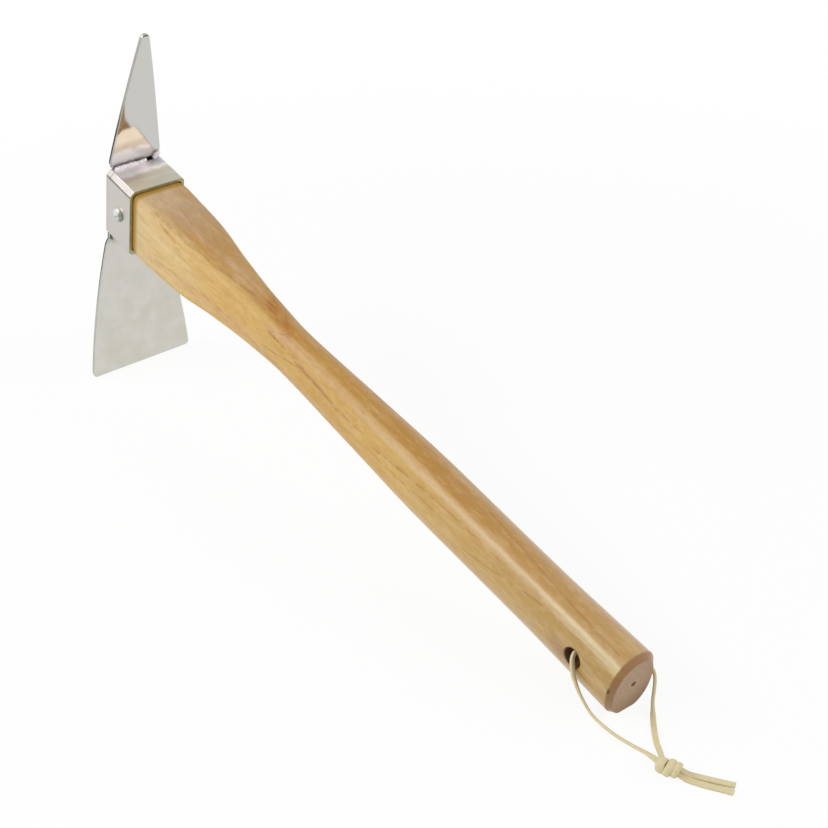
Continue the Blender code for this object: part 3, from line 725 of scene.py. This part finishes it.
def varnished_wood(nodes):
    """Honey-coloured wood under thin varnish: dark top band, streaks, late-wood lines, a knot's eye, a
    cream streak along the crest that is partly painted highlight, and painted shade by the band and round
    the hole.
    """
    x, y, z = tool_place(nodes)[1:]
    angle = (-y).math("ARCTAN2", z) * (180 / pi)
    cosine, sine = ((x * GRAIN_TWIST).math(operation) for operation in ("COSINE", "SINE"))
    round_y = y * cosine - z * sine
    round_z = y * sine + z * cosine
    broad, middle, streaks, fleck, fine, speck = (
        nodes.noise(nodes.vector(x * along + shift, round_y * across, round_z * across), 1, detail, rough)
        for along, shift, across, detail, rough in WOOD_NOISE
    )
    wander = (broad - 0.5) * 16.0 + (middle - 0.5) * 9.0
    warp = (broad - 0.5) * 1.1 + (middle - 0.5) * 0.9

    along = x / HANDLE_LENGTH
    bent = angle + wander
    past = bent - nodes.curve(BAND_EDGE, along) * 100.0
    soft = x.step(140, 90)
    on_top = past.step(soft * 8.0 + 5.0, soft * -9.0 - 6.0) * bent.step(-52, -26)
    far_top = on_top * bent.step(2, -24) * x.step(110, 150)
    colour = nodes.mix(on_top, nodes.tones(FLANK_TONES, along), nodes.tones(TOP_TONES, along))
    colour = nodes.paint(colour, (far_top * 0.75, (198, 160, 116)))
    # Cream streak along the crest: partly the wood's own tone and partly a painted highlight, creamier and
    # stronger towards the butt, where the key light's streak falls.
    past = past - x.step(270, 370) * 4.5
    ridge_streak_and_highlight = past.step(-3, 4) * past.step(19, 10) * x.window(168, 398, 30)
    streak_tone_and_highlight = nodes.mix(x.step(320, 392), shade(205, 168, 121), shade(212, 194, 144))
    strength = 0.7 - x.step(240, 290) * 0.2 + x.step(320, 385) * 0.3
    colour = nodes.mix(ridge_streak_and_highlight * strength, colour, streak_tone_and_highlight)

    for *outline, tone, strength in WOOD_PATCHES:
        colour = nodes.paint(colour, (wood_patch(x, angle, warp, *outline) * strength, tone))
    stirred = angle + wander * 0.35
    for points, width, strength, side in GRAIN_LINES:
        line = grain_line(nodes, x, stirred, points, width, side) * (strength + 0.2)
        colour = nodes.paint(colour, (line * fleck.step(0.3, 0.62), GRAIN_TONE))

    bore = (x - HOLE_PLACE).length_with(z - HOLE_RISE)
    chip = wood_patch(y, z, warp * 0.6, (-13.0, 1.5), (1.0, 1.7), 0.0, 0.6) * x.step(398.6, 399.4)
    colour = nodes.paint(
        colour,
        (middle.step(0.5, 0.72) * 0.34, (184, 138, 74)), (middle.step(0.5, 0.28) * 0.3, (222, 192, 146)),
        (streaks.step(0.5, 0.7) * 0.2, (170, 122, 60)), (streaks.step(0.48, 0.3) * 0.18, (226, 194, 150)),
        (fleck.step(0.52, 0.68) * 0.18, (168, 122, 66)), (fleck.step(0.48, 0.34) * 0.16, (226, 196, 150)),
        (fine.step(0.54, 0.7) * 0.22, (154, 108, 56)), (speck.step(0.6, 0.72) * 0.2, (190, 134, 98)),
        # Orange-brown then dark brown next to the band: painted shadow of the band's edge on the wood.
        (x.step(31.6, 27.6) * 0.95, (164, 122, 38)), (x.step(27, 25.4) * 0.85, (112, 82, 40)),
        # Dark rim round the hole's mouth and inside it: painted shade of the hole.
        (bore.step(HOLE_RADIUS + 0.9, HOLE_RADIUS) * 0.85, (84, 52, 40)),
        (x.step(398.9, 399.8) * 0.85, (144, 94, 34)), (chip * 0.9, (64, 38, 20)),
    )
    gloss = (x.step(200, 370) * (0.55 + streaks * 0.7)).clamp()
    return {
        "Base Color": colour, "Roughness": streaks * 0.2 + 0.4, "Specular IOR Level": 0.25,
        "Normal": nodes.bump(streaks * 0.5 + fine * 0.3 + middle, 0.2, 0.0003),
        "Coat Weight": gloss, "Coat Roughness": 0.28,
    }


def end_grain_wood(nodes):
    """Sawn end of the handle: fine rings round a dark pith."""
    place, _, y, z = tool_place(nodes)
    warp = nodes.noise(place, 260, 2) - 0.5
    swirl = nodes.noise(place, 70, 2)
    dust = nodes.noise(place, 1500, 3, 0.7)
    off_y, off_z = y - PITH[0], z - PITH[1]
    away_y = off_y + warp * 1.8 + (swirl - 0.5) * 3.0
    away_z = off_z + warp * 1.8 - (swirl - 0.5) * 2.0
    radius = away_y.length_with(away_z)
    rings = (radius * 2.6 + swirl * 5.0).math("SINE") * 0.5 + 0.5
    rays = nodes.noise(nodes.vector(away_y.math("ARCTAN2", away_z) * 9.0, radius * 0.2, 0.0), 1.0, 2.0)
    pith = off_y.length_with(off_z) + warp * 0.8
    colour = nodes.paint(
        shade(184, 157, 132),
        (rings * 0.2, (154, 124, 96)), (dust.step(0.4, 0.75) * 0.45, (136, 108, 84)),
        (rays.step(0.5, 0.75) * 0.3, (198, 172, 146)), (away_y.step(2, 12) * 0.35, (146, 114, 84)),
        ((-away_z).step(2, 14) * 0.35, (146, 108, 66)),
        (pith.window(1.6, 2, 0.5) * 0.4, (200, 174, 146)), (pith.step(1.9, 0.9), (84, 56, 38)),
    )
    normal = nodes.bump(dust + rings * 0.3, 0.4, 0.0002)
    return {"Base Color": colour, "Roughness": 0.75, "Normal": normal}


# Head


BAND_WIDTH = 33.0
BAND_HEIGHT = 41.0
BAND_DEPTH = 25.0
BAND_SET_IN = 0.9
BAND_SKEW = 0.02
BAND_ROUNDING = 0.3
SHEET = 2.0
GAP = 0.3

# Where the bends start, in mm from the corner: far top, near top, near bottom, far bottom
OUTER_BENDS = (1.9, 3.2, 2.4, 2.4)
INNER_BENDS = (1.3, 1.9, 1.9, 1.9)
OUTER_SOFTNESS = 0.9
INNER_SOFTNESS = 0.6
BEND_STEPS = 4


def pressed_bend(reach, soft):
    """Points of a bend pressed nearly flat, as (back from one side, back from the other)."""
    points = []
    for step in range(BEND_STEPS + 1):
        turn = pi / 4 * step / BEND_STEPS
        points.append((soft * (1 - cos(turn)), reach - soft * sin(turn)))
    one, other = points[-1]
    flat = [(one + (other - one) * share, other + (one - other) * share) for share in (0.06, 0.94)]
    return points + flat + [(across, along) for along, across in points[::-1]]


def band_loop(x, skew, inset, reaches, soft):
    """Loop round the band's section, set in from its outside, with each corner pressed nearly flat."""
    loop = []
    for quarter, (side_y, side_z) in enumerate(((1, 1), (-1, 1), (-1, -1), (1, -1))):
        corner = pressed_bend(reaches[quarter], soft)
        for in_y, in_z in corner if quarter % 2 == 0 else corner[::-1]:
            y = side_y * (BAND_WIDTH / 2 - inset - in_y)
            loop.append(tool_point(x + skew * y, y, side_z * (BAND_HEIGHT / 2 - inset - in_z)))
    return loop


def make_band(*steels):
    """Band folded from strip, its front edge cut a little out of square."""
    near, far, soft = BAND_SET_IN, BAND_DEPTH + GAP, BAND_ROUNDING
    rounded = ((0, soft), (soft * 0.3, soft * 0.3), (soft, 0))
    outside = [(near + back, 0, inset) for back, inset in rounded]
    outside += [(far - back, BAND_SKEW, inset) for back, inset in rounded[::-1]]
    inside = (
        (far, BAND_SKEW, SHEET - soft), (far - soft, BAND_SKEW, SHEET),
        (near + soft, 0, SHEET), (near, 0, SHEET - soft),
    )
    walls = [band_loop(*row, [reach - row[2] for reach in OUTER_BENDS], OUTER_SOFTNESS) for row in outside]
    walls += [band_loop(*row, INNER_BENDS, INNER_SOFTNESS) for row in inside]
    piece = piece_from(loft(walls, closed=True), "steel_band", 30, *steels)
    for face in piece.data.polygons:
        if abs(face.normal.dot(TOOL_X)) > 0.5:
            face.material_index = 1
    smooth_mesh(piece.data, 30, 30.0)
    return piece


def side_curve(start, end, belly, steps=40):
    """Side of a plate as (along, half width), with a belly in its middle."""
    shares = [step / steps for step in range(steps + 1)]
    return [
        (start[0] + (end[0] - start[0]) * t, start[1] + (end[1] - start[1]) * t + 4 * belly * t * (1 - t))
        for t in shares
    ]


def arc(centre, lift, radius, start_turn, steps=10):
    """Round corner or tip of a plate, from a turn down to its end, without its first point."""
    turns = [start_turn * (1 - step / steps) for step in range(1, steps + 1)]
    return [(centre + radius * cos(t), lift + radius * sin(t)) for t in turns]


def make_plate(name, far_side, near_side, lean, foot, way, *steels, grind=None, drift=0, yaw=0):
    """Plate blade from its two sides, leaning towards the handle, with softened edges."""
    length = far_side[-1][0]
    outline = far_side + [(along, -half) for along, half in near_side[::-1] if half > 0]
    outline = [(along, half + drift * along) for along, half in outline]
    slope = tan(radians(lean))
    edit = loft([
        [tool_point(x + slope * along - yaw * half, half, foot + way * along) for along, half in outline]
        for x in (0, SHEET)
    ])
    if grind is not None:
        grind_edge(edit, length, slope, foot, way, *grind)
    piece = piece_from(edit, name, PLATE_SHARP, *steels)
    soften = piece.modifiers.new("soften", "BEVEL")
    soften.width = EDGE_SOFTNESS * MM
    soften.segments = 3
    soften.limit_method = "ANGLE"
    soften.angle_limit = radians(PLATE_SHARP)
    mesh = fixed(piece)
    across_plate = (TOOL_X - TOOL_Z * way * slope).normalized()
    for face in mesh.polygons:
        face.material_index = 1 if abs(face.normal.dot(across_plate)) < 0.75 else 0
    smooth_mesh(mesh, PLATE_SHARP, LARGE_FACE)
    return piece


def grind_edge(edit, length, slope, foot, way, run, left):
    """Thins the cutting edge from the back, over a run, to what is left of the sheet."""
    edge = tool_point(slope * length + SHEET - left, 0, foot + way * length)
    heel = tool_point(slope * (length - run), 0, foot + way * (length - run))
    result = bmesh.ops.bisect_plane(
        edit, geom=edit.verts[:] + edit.edges[:] + edit.faces[:], dist=1e-7,
        plane_co=edge, plane_no=ACROSS.cross(edge - heel), clear_outer=True,
    )
    rim = [item for item in result["geom_cut"] if isinstance(item, bmesh.types.BMEdge)]
    bmesh.ops.holes_fill(edit, edges=rim, sides=0)


EDGE_SOFTNESS = 0.25
PLATE_SHARP = 50
PICK_LENGTH = 82.0
PICK_ROOT = 30.9
PICK_TIP = 2.5
PICK_BELLY = 0.75
PICK_LEAN = 6.6
FAR_TRIM = (1.2, 0.24)
NEAR_TRIM = (2.1, 0.5)
HOE_LENGTH = 88.2
HOE_EDGE = 63.0
HOE_CORNER = 2.4
HOE_SHOULDER = ((0, 15), (3.3, 15.2))
HOE_NECK = (6.4, 17.2)
HOE_BELLY = 1.7
HOE_LEAN = 7.7
HOE_GRIND = (4.5, 0.8)


def make_pick(*steels):
    """Pointed plate, its foot trimmed at both corners and flared a little on the far side."""
    centre = PICK_LENGTH - PICK_TIP
    slope = atan2(PICK_ROOT / 2 - PICK_TIP, centre)
    meet = (centre + PICK_TIP * sin(slope), PICK_TIP * cos(slope))
    half = side_curve((0, PICK_ROOT / 2), meet, PICK_BELLY)
    half += arc(centre, 0, PICK_TIP, pi / 2 - slope)
    far_side = [(along, wide + (1 - along / PICK_LENGTH) ** 4) for along, wide in half]
    far_side, near_side = (
        [(along, wide - max(0, cut - along * slant)) for along, wide in side]
        for side, (cut, slant) in ((far_side, FAR_TRIM), (half, NEAR_TRIM))
    )
    return make_plate(
        "pick_plate", far_side, near_side, PICK_LEAN, BAND_HEIGHT / 2 + GAP, 1, *steels,
        drift=-0.003, yaw=0.012,
    )


def make_hoe(*steels):
    """Flared plate with small shoulders, ground along its lower edge."""
    centre = HOE_LENGTH - HOE_CORNER
    half = [*HOE_SHOULDER, *side_curve(HOE_NECK, (centre, HOE_EDGE / 2), HOE_BELLY)]
    half += arc(centre, HOE_EDGE / 2 - HOE_CORNER, HOE_CORNER, pi / 2)
    foot = -BAND_HEIGHT / 2 - GAP
    return make_plate("hoe_plate", half, half, HOE_LEAN, foot, -1, *steels, grind=HOE_GRIND)


# Weld beads: start and end in mm on the tool, radius, number of puddles, scatter, seed
BEADS = {
    "pick_bead": ((3.1, -11.4, 20.95), (3.1, 6.2, 20.95), 1.15, 15, 0.2, 3),
    "pick_tack": ((2.8, 12.2, 21.3), (3.1, 14, 23.4), 1.3, 6, 0.2, 5),
    "hoe_bead": ((2.9, -13.6, -21.1), (2.9, 12, -21.1), 1.25, 18, 0.25, 8),
}
BEAD_FINENESS = 0.18
BEAD_SHARP = 80


def bead_tree():
    """Tree that melts a row of puddles into one weld bead."""
    tree, nodes, given = shape_tree(
        "weld_bead", From="Vector", To="Vector", Puddles="Int", Radius="Float", Scatter="Float",
        Seed="Int", Fineness="Float", Metal="Material",
    )
    row = nodes.add("GeometryNodeMeshLine", {
        "Count": given["Puddles"], "Start Location": given["From"], "Offset": given["To"],
    }, mode="END_POINTS")
    spread, radius = given["Scatter"], given["Radius"]
    jitter = nodes.add("FunctionNodeRandomValue", {
        0: nodes.vector(-spread, spread * -0.3, -spread), 1: nodes.vector(spread, spread * 0.3, spread),
        "Seed": given["Seed"],
    }, data_type="FLOAT_VECTOR")
    moved = nodes.add("GeometryNodeSetPosition", {"Geometry": row, "Offset": jitter})
    points = nodes.add("GeometryNodeMeshToPoints", {"Mesh": moved})
    size = nodes.add("FunctionNodeRandomValue", {
        2: radius * 0.82, 3: radius * 1.12, "Seed": given["Seed"] + 7,
    }, data_type="FLOAT")
    melted = nodes.add("GeometryNodePointsToVolume", {
        "Points": points, "Voxel Size": given["Fineness"], "Radius": size,
    }, resolution_mode="VOXEL_SIZE")
    surface = nodes.add(
        "GeometryNodeVolumeToMesh", {"Volume": melted, "Threshold": 0.1}, resolution_mode="GRID",
    )
    close_tree(nodes, surface, given["Metal"])
    return tree


def make_bead(name, tree, metal):
    """Bead along the corner between a blade's front and the band."""
    start, end, radius, puddles, scatter, seed = BEADS[name]
    piece = grow(
        name, tree, From=tool_point(*start), To=tool_point(*end), Puddles=puddles, Radius=radius * MM,
        Scatter=scatter * MM, Seed=seed, Fineness=BEAD_FINENESS * MM, Metal=metal,
    )
    smooth_mesh(piece.data, BEAD_SHARP)
    return piece


RIVET_PLACE = 13.9
RIVET_RISE = -0.2
RIVET_RADIUS = 4.0
RIVET_WALL = 0.75
RIVET_CROWN = 1.2
RIVET_TAPER = 0.35
SHANK_RADIUS = 2.0
DOME_STEPS = 12


def make_rivet(steel):
    """Shank with a domed head on each side."""
    seat = BAND_WIDTH / 2 + 0.02
    brow, top = seat + RIVET_WALL, RIVET_RADIUS - RIVET_TAPER
    head = [(seat, SHANK_RADIUS), (seat, RIVET_RADIUS - 0.1), (seat + 0.1, RIVET_RADIUS), (brow, top)]
    for step in range(DOME_STEPS):
        turn = pi / 2 * (step + 1) / (DOME_STEPS + 0.5)
        head.append((brow + RIVET_CROWN * sin(turn), top * cos(turn)))
    return turned("domed_rivet", RIVET_PLACE, RIVET_RISE, head, 50, steel)


def polished_steel(nodes, tone, rough, mottle, haze, marks, dulled=0.0, relief=None):
    """Rolled plate with fine lengthwise scratches and faint clouding."""
    place, x, y, z = tool_place(nodes)
    cloud = nodes.noise(place, 90, 3, 0.6)
    patch = nodes.noise(place, 38, 2, 0.5)
    lines = nodes.noise(nodes.vector(x * 0.09, y * 2.6, z * 0.09), 1.0, 2.0, 0.6)
    # The marks functions add heat tints, oil and a dark tip, and also painted shade and painted
    # reflections.
    coats = marks(x, y, z, cloud - 0.5)
    colour = nodes.paint(
        shade(*tone), (cloud.step(0.35, 0.7) * mottle, (196, 195, 182)),
        (patch.step(0.5, 0.75) * mottle * 0.8, (206, 203, 184)), *coats,
    )
    by_weld = z.size().step(29, 22)
    roughness = rough + (cloud - 0.5) * haze + (lines - 0.5) * haze * 0.5 + by_weld * dulled
    height = (lines * 0.4 + cloud) * 0.01
    if relief is not None:
        height = height + relief(y, z)
    normal = nodes.bump(height, 1.0, MM)
    return {"Base Color": colour, "Metallic": 1.0, "Roughness": roughness, "Normal": normal}


def band_heat_tints_and_painted_shade(x, y, z, cloud):
    """Welding heat colours on the band's top, painted shade on the bend's facet and in its crease, and the
    gap by the bead painted dark as its shade.
    """
    on_top = z.step(19.4, 20.2)
    away = x + cloud * 7.0
    burnt = on_top * y.step(3, 9) * away.step(12, 8)
    # The bend's facet is painted darker as shade, which tones down the key light's highlight there; its
    # crease is painted dark as shade.
    corner = y.step(-13.4, -14.2) * z.step(16.4, 17.2)
    # The gap under the pick's foot is painted dark as its shade.
    gap = z.step(20, 20.3) * (x + cloud * 2.0).step(3.9, 3) * y.window(6.8, 11.4, 0.5)
    side = y.step(-15.9, -16.3)
    return (
        (on_top * away.step(15, 10) * 0.95, (244, 239, 242)), (burnt * 0.75, (170, 170, 172)),
        (on_top * away.window(13.5, 15.5, 3.5) * 0.65, (186, 174, 150)),
        (on_top * away.step(16, 20) * 0.9, (188, 183, 167)), (corner * 0.95, (129, 124, 122)),
        (corner * x.window(4.6, 4.9, 0.4) * 0.8, (96, 96, 84)), (gap, (46, 50, 42)),
        (side * x.step(4.5, 1) * 0.5, (190, 182, 180)),
    )


def rolled_edge(y, z):
    """Height in mm of the pick's face, falling away over the last millimetres by its near edge."""
    from_edge = y + 16.3 - (z - 20.8) * 0.162
    near = (1.0 - from_edge / 3.0).clamp()
    return near * near * -0.13


def pick_painted_light_and_tip(x, y, z, cloud):
    """Painted reflection of the band's top on the pick's foot, greyer low down by the weld, its dark tip,
    and the gap in the weld painted dark as its shade.
    """
    # Painted reflection: where the band's top mirrors in the pick, lighter and pinker, and greyer low down
    # by the weld.
    band_reflection_area = (z + y * 1.484).step(44.2, 42.2) * z.step(46.5, 44.5)
    low = (z + cloud * 8.0).step(41, 27) * (1.0 - y.step(0, 6) * 0.35)
    # The gap in the weld under the foot is painted dark as its shade.
    roof = 22.1 - (y - 9.4).size() * 0.42
    gap = (roof - z).step(-0.15, 0.35) * y.window(6.9, 11.9, 0.3)
    return (
        (band_reflection_area * 0.8, (222, 209, 203)), (band_reflection_area * low, (153, 151, 149)),
        (z.step(101.5, 102.1), (70, 76, 70)), (gap, (44, 48, 40)),
    )


def hoe_painted_shade_and_oil(x, y, z, cloud):
    """Painted shade in the corner of unwelded metal under the band's edge, a wider and lighter painted
    shade below it, and thin yellowish clouds of oil.
    """
    # The notch and the wider patch below it are painted shade under the band's edge.
    notch = (z + 23.2 + (y + 16.0).size() * 0.9).step(0, 0.5) * y.step(-12.6, -13.6)
    painted_shade_below_band = (z + 27.5 + (y + 15.0).size() * 0.6).step(0, 3.5) * y.step(-8, -14.5)
    low = z.step(-50, -80) * (cloud * 2.0 + 0.5).clamp()
    return (painted_shade_below_band * 0.8, (172, 172, 154)), (notch * 0.85, (74, 78, 70)), (low * 0.35, (200, 198, 176))


def rivet_painted_reflection(x, y, z, cloud):
    """Painted reflections on the dome: lilac-grey on its lower side, a greenish line above that, and dark
    olive round the lower right of the rivet's wall as painted shade and dark reflection.
    """
    # All three coats stand in for light: painted reflection and painted shade on the dome and its wall.
    off_x, off_z = x - RIVET_PLACE, z - RIVET_RISE
    low = off_x * 0.62 - off_z * 0.78
    right = off_x * 0.9 - off_z * 0.45
    rim = right.step(-1.2, 0.6) * off_x.length_with(off_z).step(2.6, 3.2)
    return (
        (low.step(0.2, 1.4) * 0.75, (196, 190, 202)), (low.window(0.1, 0.8, 0.5) * 0.6, (120, 150, 124)),
        (rim * 0.7, (112, 114, 84)),
    )


def cut_edge_steel(nodes, inner, outer, faded, metal, foot):
    """Sheared edge: bright where the shear cut, dark and torn towards the back of the plate."""
    x, y, z = tool_place(nodes)[1:]
    lines = nodes.noise(nodes.vector(x * 2.4, y * 0.26, z * 0.26), 1.0, 2.0, 0.6)
    reach = z.size()
    through = x - (reach - 20.8) * 0.125 + (lines - 0.5) * 0.4 - z.step(0, 1) * 0.35
    dark = through.step(1.3, 0.9) * (1.0 - reach.step(faded * 0.6, faded) * 0.8)
    colour = nodes.paint(
        shade(*inner), (lines.step(0.35, 0.7), [level - 16 for level in inner]), (dark, outer),
    )
    if foot is not None:
        colour = nodes.paint(colour, ((-z).step(16.5, 19.5), foot))
    normal = nodes.bump(lines, 0.2, 0.0001)
    return {"Base Color": colour, "Metallic": metal, "Roughness": 0.4, "Normal": normal}


def weld_metal(nodes):
    """Bright bead with a pinkish heat bloom, dark pits painted as their shade, and painted shade on the
    hoe bead's near end under the band.
    """
    place, _, y, z = tool_place(nodes)
    cloud = nodes.noise(place, 700, 3, 0.6)
    pits = nodes.noise(place, 620, 2, 0.6)
    # The pits are painted dark as their shade; the hoe bead's near end, under the band, is painted dark as
    # shade.
    shaded_bead_end = y.step(-12.6, -13.2) * (-z).step(0, 1)
    colour = nodes.paint(
        shade(246, 239, 241), (cloud.step(0.4, 0.7), (228, 219, 224)),
        (pits.step(0.64, 0.7) * 0.8, (96, 90, 84)), (shaded_bead_end, (60, 64, 56)),
    )
    return {
        "Base Color": colour, "Metallic": 0.15, "Roughness": 0.34,
        "Normal": nodes.bump(cloud + pits * 0.4, 0.25, 0.0003),
    }


# Floor and light


WHITE = (1.0, 1.0, 1.0, 1.0)
FLOOR_HALF = 3.0
FLOOR_DROP = 0.00002
AMBIENT = 0.52


def cleared(owner):
    """Nodes of a material or a world, emptied, and the share of rays that show it directly."""
    owner.use_nodes = True
    owner.node_tree.nodes.clear()
    nodes = Nodes(owner.node_tree)
    rays = nodes.add("ShaderNodeLightPath")
    seen = rays["Is Camera Ray"] + rays["Is Glossy Ray"] + rays["Is Transmission Ray"]
    return nodes, seen.clamp()


def make_floor():
    """White floor that keeps a faint shadow."""
    material = bpy.data.materials.new("white_floor")
    nodes, seen = cleared(material)
    place = nodes.add("ShaderNodeSeparateXYZ", {"Vector": nodes.add("ShaderNodeTexCoord")["Object"]})
    away = place["X"].length_with(place["Y"])
    paper = nodes.add("ShaderNodeBsdfDiffuse", {"Color": (0.96, 0.96, 0.96, 1.0)})
    glow = nodes.add("ShaderNodeEmission", {"Color": WHITE, "Strength": 1.0})
    share = seen * (0.9 + away.step(0.3, 0.7) * 0.1)
    mixed = nodes.add("ShaderNodeMixShader", {0: share, 1: paper, 2: glow})
    nodes.add("ShaderNodeOutputMaterial", {"Surface": mixed})
    edit = bmesh.new()
    corners = [(x * FLOOR_HALF, y * FLOOR_HALF) for x, y in ((-1, -1), (1, -1), (1, 1), (-1, 1))]
    edit.faces.new([edit.verts.new((x, y, -FLOOR_DROP)) for x, y in corners])
    piece_from(edit, "floor", 35, material)


def make_light(name, place, target, size, power, tint):
    data = bpy.data.lights.new(name, "AREA")
    data.color = tint
    data.shape = "RECTANGLE"
    data.size, data.size_y = size
    data.energy = power
    light = place_new(name, data)
    light.location = place
    light.rotation_euler = (Vector(target) - Vector(place)).to_track_quat("-Z", "Y").to_euler()


def make_world():
    """White studio, dimmer as light than it looks."""
    world = bpy.data.worlds.new("studio")
    nodes, seen = cleared(world)
    dim, white = (
        nodes.add("ShaderNodeBackground", {"Color": WHITE, "Strength": power}) for power in (AMBIENT, 1.0)
    )
    mixed = nodes.add("ShaderNodeMixShader", {0: seen, 1: dim, 2: white})
    nodes.add("ShaderNodeOutputWorld", {"Surface": mixed})
    bpy.context.scene.world = world


def mount(piece, finish, *replaced):
    """Lets a piece ride on the tool in place of its solids; the named finish is not used."""
    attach(piece, next(iter(frame["bodies"])))
    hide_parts(*replaced)


def mount_cord(piece, route, replaced):
    mount(piece, "lace_leather", *replaced)
    length = sum((far - near).length for near, far in zip(route, route[1:]))
    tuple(route[0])
    [tuple(point) for point in route]


# Steel plates: tone, roughness, mottling, haze, marks with painted shade and reflections, dulling by the
# weld, relief
PLATES = {
    "polished_plate": ((203, 201, 197), 0.1, 0.12, 0.05, pick_painted_light_and_tip, 0.28, rolled_edge),
    "satin_plate": ((211, 209, 202), 0.36, 0.38, 0.12, hoe_painted_shade_and_oil),
    "band_plate": ((204, 199, 194), 0.34, 0.25, 0.08, band_heat_tints_and_painted_shade),
    "rivet_dome": ((226, 226, 224), 0.24, 0.05, 0.04, rivet_painted_reflection),
}


def main():
    make_camera()
    leather = make_material("suede", suede)
    left, left_route = make_lace("lace_left", LEFT_HALF, leather)
    right, right_route = make_lace("lace_right", RIGHT_HALF, leather)
    knot = make_knot(leather)

    mirror, satin, band_steel, rivet_steel = (
        make_material(name, polished_steel, *values) for name, values in PLATES.items()
    )
    edge = make_material("sheared_edge", cut_edge_steel, (194, 195, 187), (44, 50, 48), 70.0, 1.0, None)
    # The band's front edge: olive colours with little metal, a painted reflection of darker surroundings
    # in place of a rendered one, greener towards the bottom.
    front_edge_reflection = make_material(
        "front_edge_painted_reflection", cut_edge_steel, (180, 174, 126), (168, 162, 118), 200.0, 0.25, (180, 186, 154)
    )
    weld = make_material("weld_metal", weld_metal)
    wood = make_material("varnished_wood_figure", varnished_wood)
    end_grain = make_material("end_grain_rings", end_grain_wood)
    tree = bead_tree()
    parts = (
        (make_handle(wood, end_grain), "varnished_wood", "handle"),
        (make_band(band_steel, front_edge_reflection), "polished_steel", "socket_band"),
        (make_pick(mirror, edge), "polished_steel", "pick_blade"),
        (make_hoe(satin, edge), "polished_steel", "hoe_blade"),
        (make_rivet(rivet_steel), "rivet_steel", "handle_rivet"),
        (make_bead("pick_bead", tree, weld), "weld_steel", "pick_weld_bead"),
        (make_bead("pick_tack", tree, weld), "weld_steel", "pick_weld_tack"),
        (make_bead("hoe_bead", tree, weld), "weld_steel", "hoe_weld_bead"),
        (knot, "lace_leather", "lace_knot"),
    )
    make_floor()
    make_world()
    make_light("key", (-0.45, -0.97, 0.94), (0.0, 0.0, 0.08), (1.3, 0.4), 9.6, (1.0, 1.0, 1.0))
    make_light("warm_fill", (1.17, 1.06, 1.16), (-0.18, 0.0, 0.13), (1.4, 1.4), 10.5, (1.0, 0.975, 0.93))

    mount_cord(left, left_route, ("lace_left_strand", "lace_tail_lower"))
    mount_cord(right, right_route, ("lace_right_strand", "lace_tail_upper"))
    for part in parts:
        mount(*part)


main()
scene = bpy.context.scene
scene.view_settings.view_transform = "Standard"
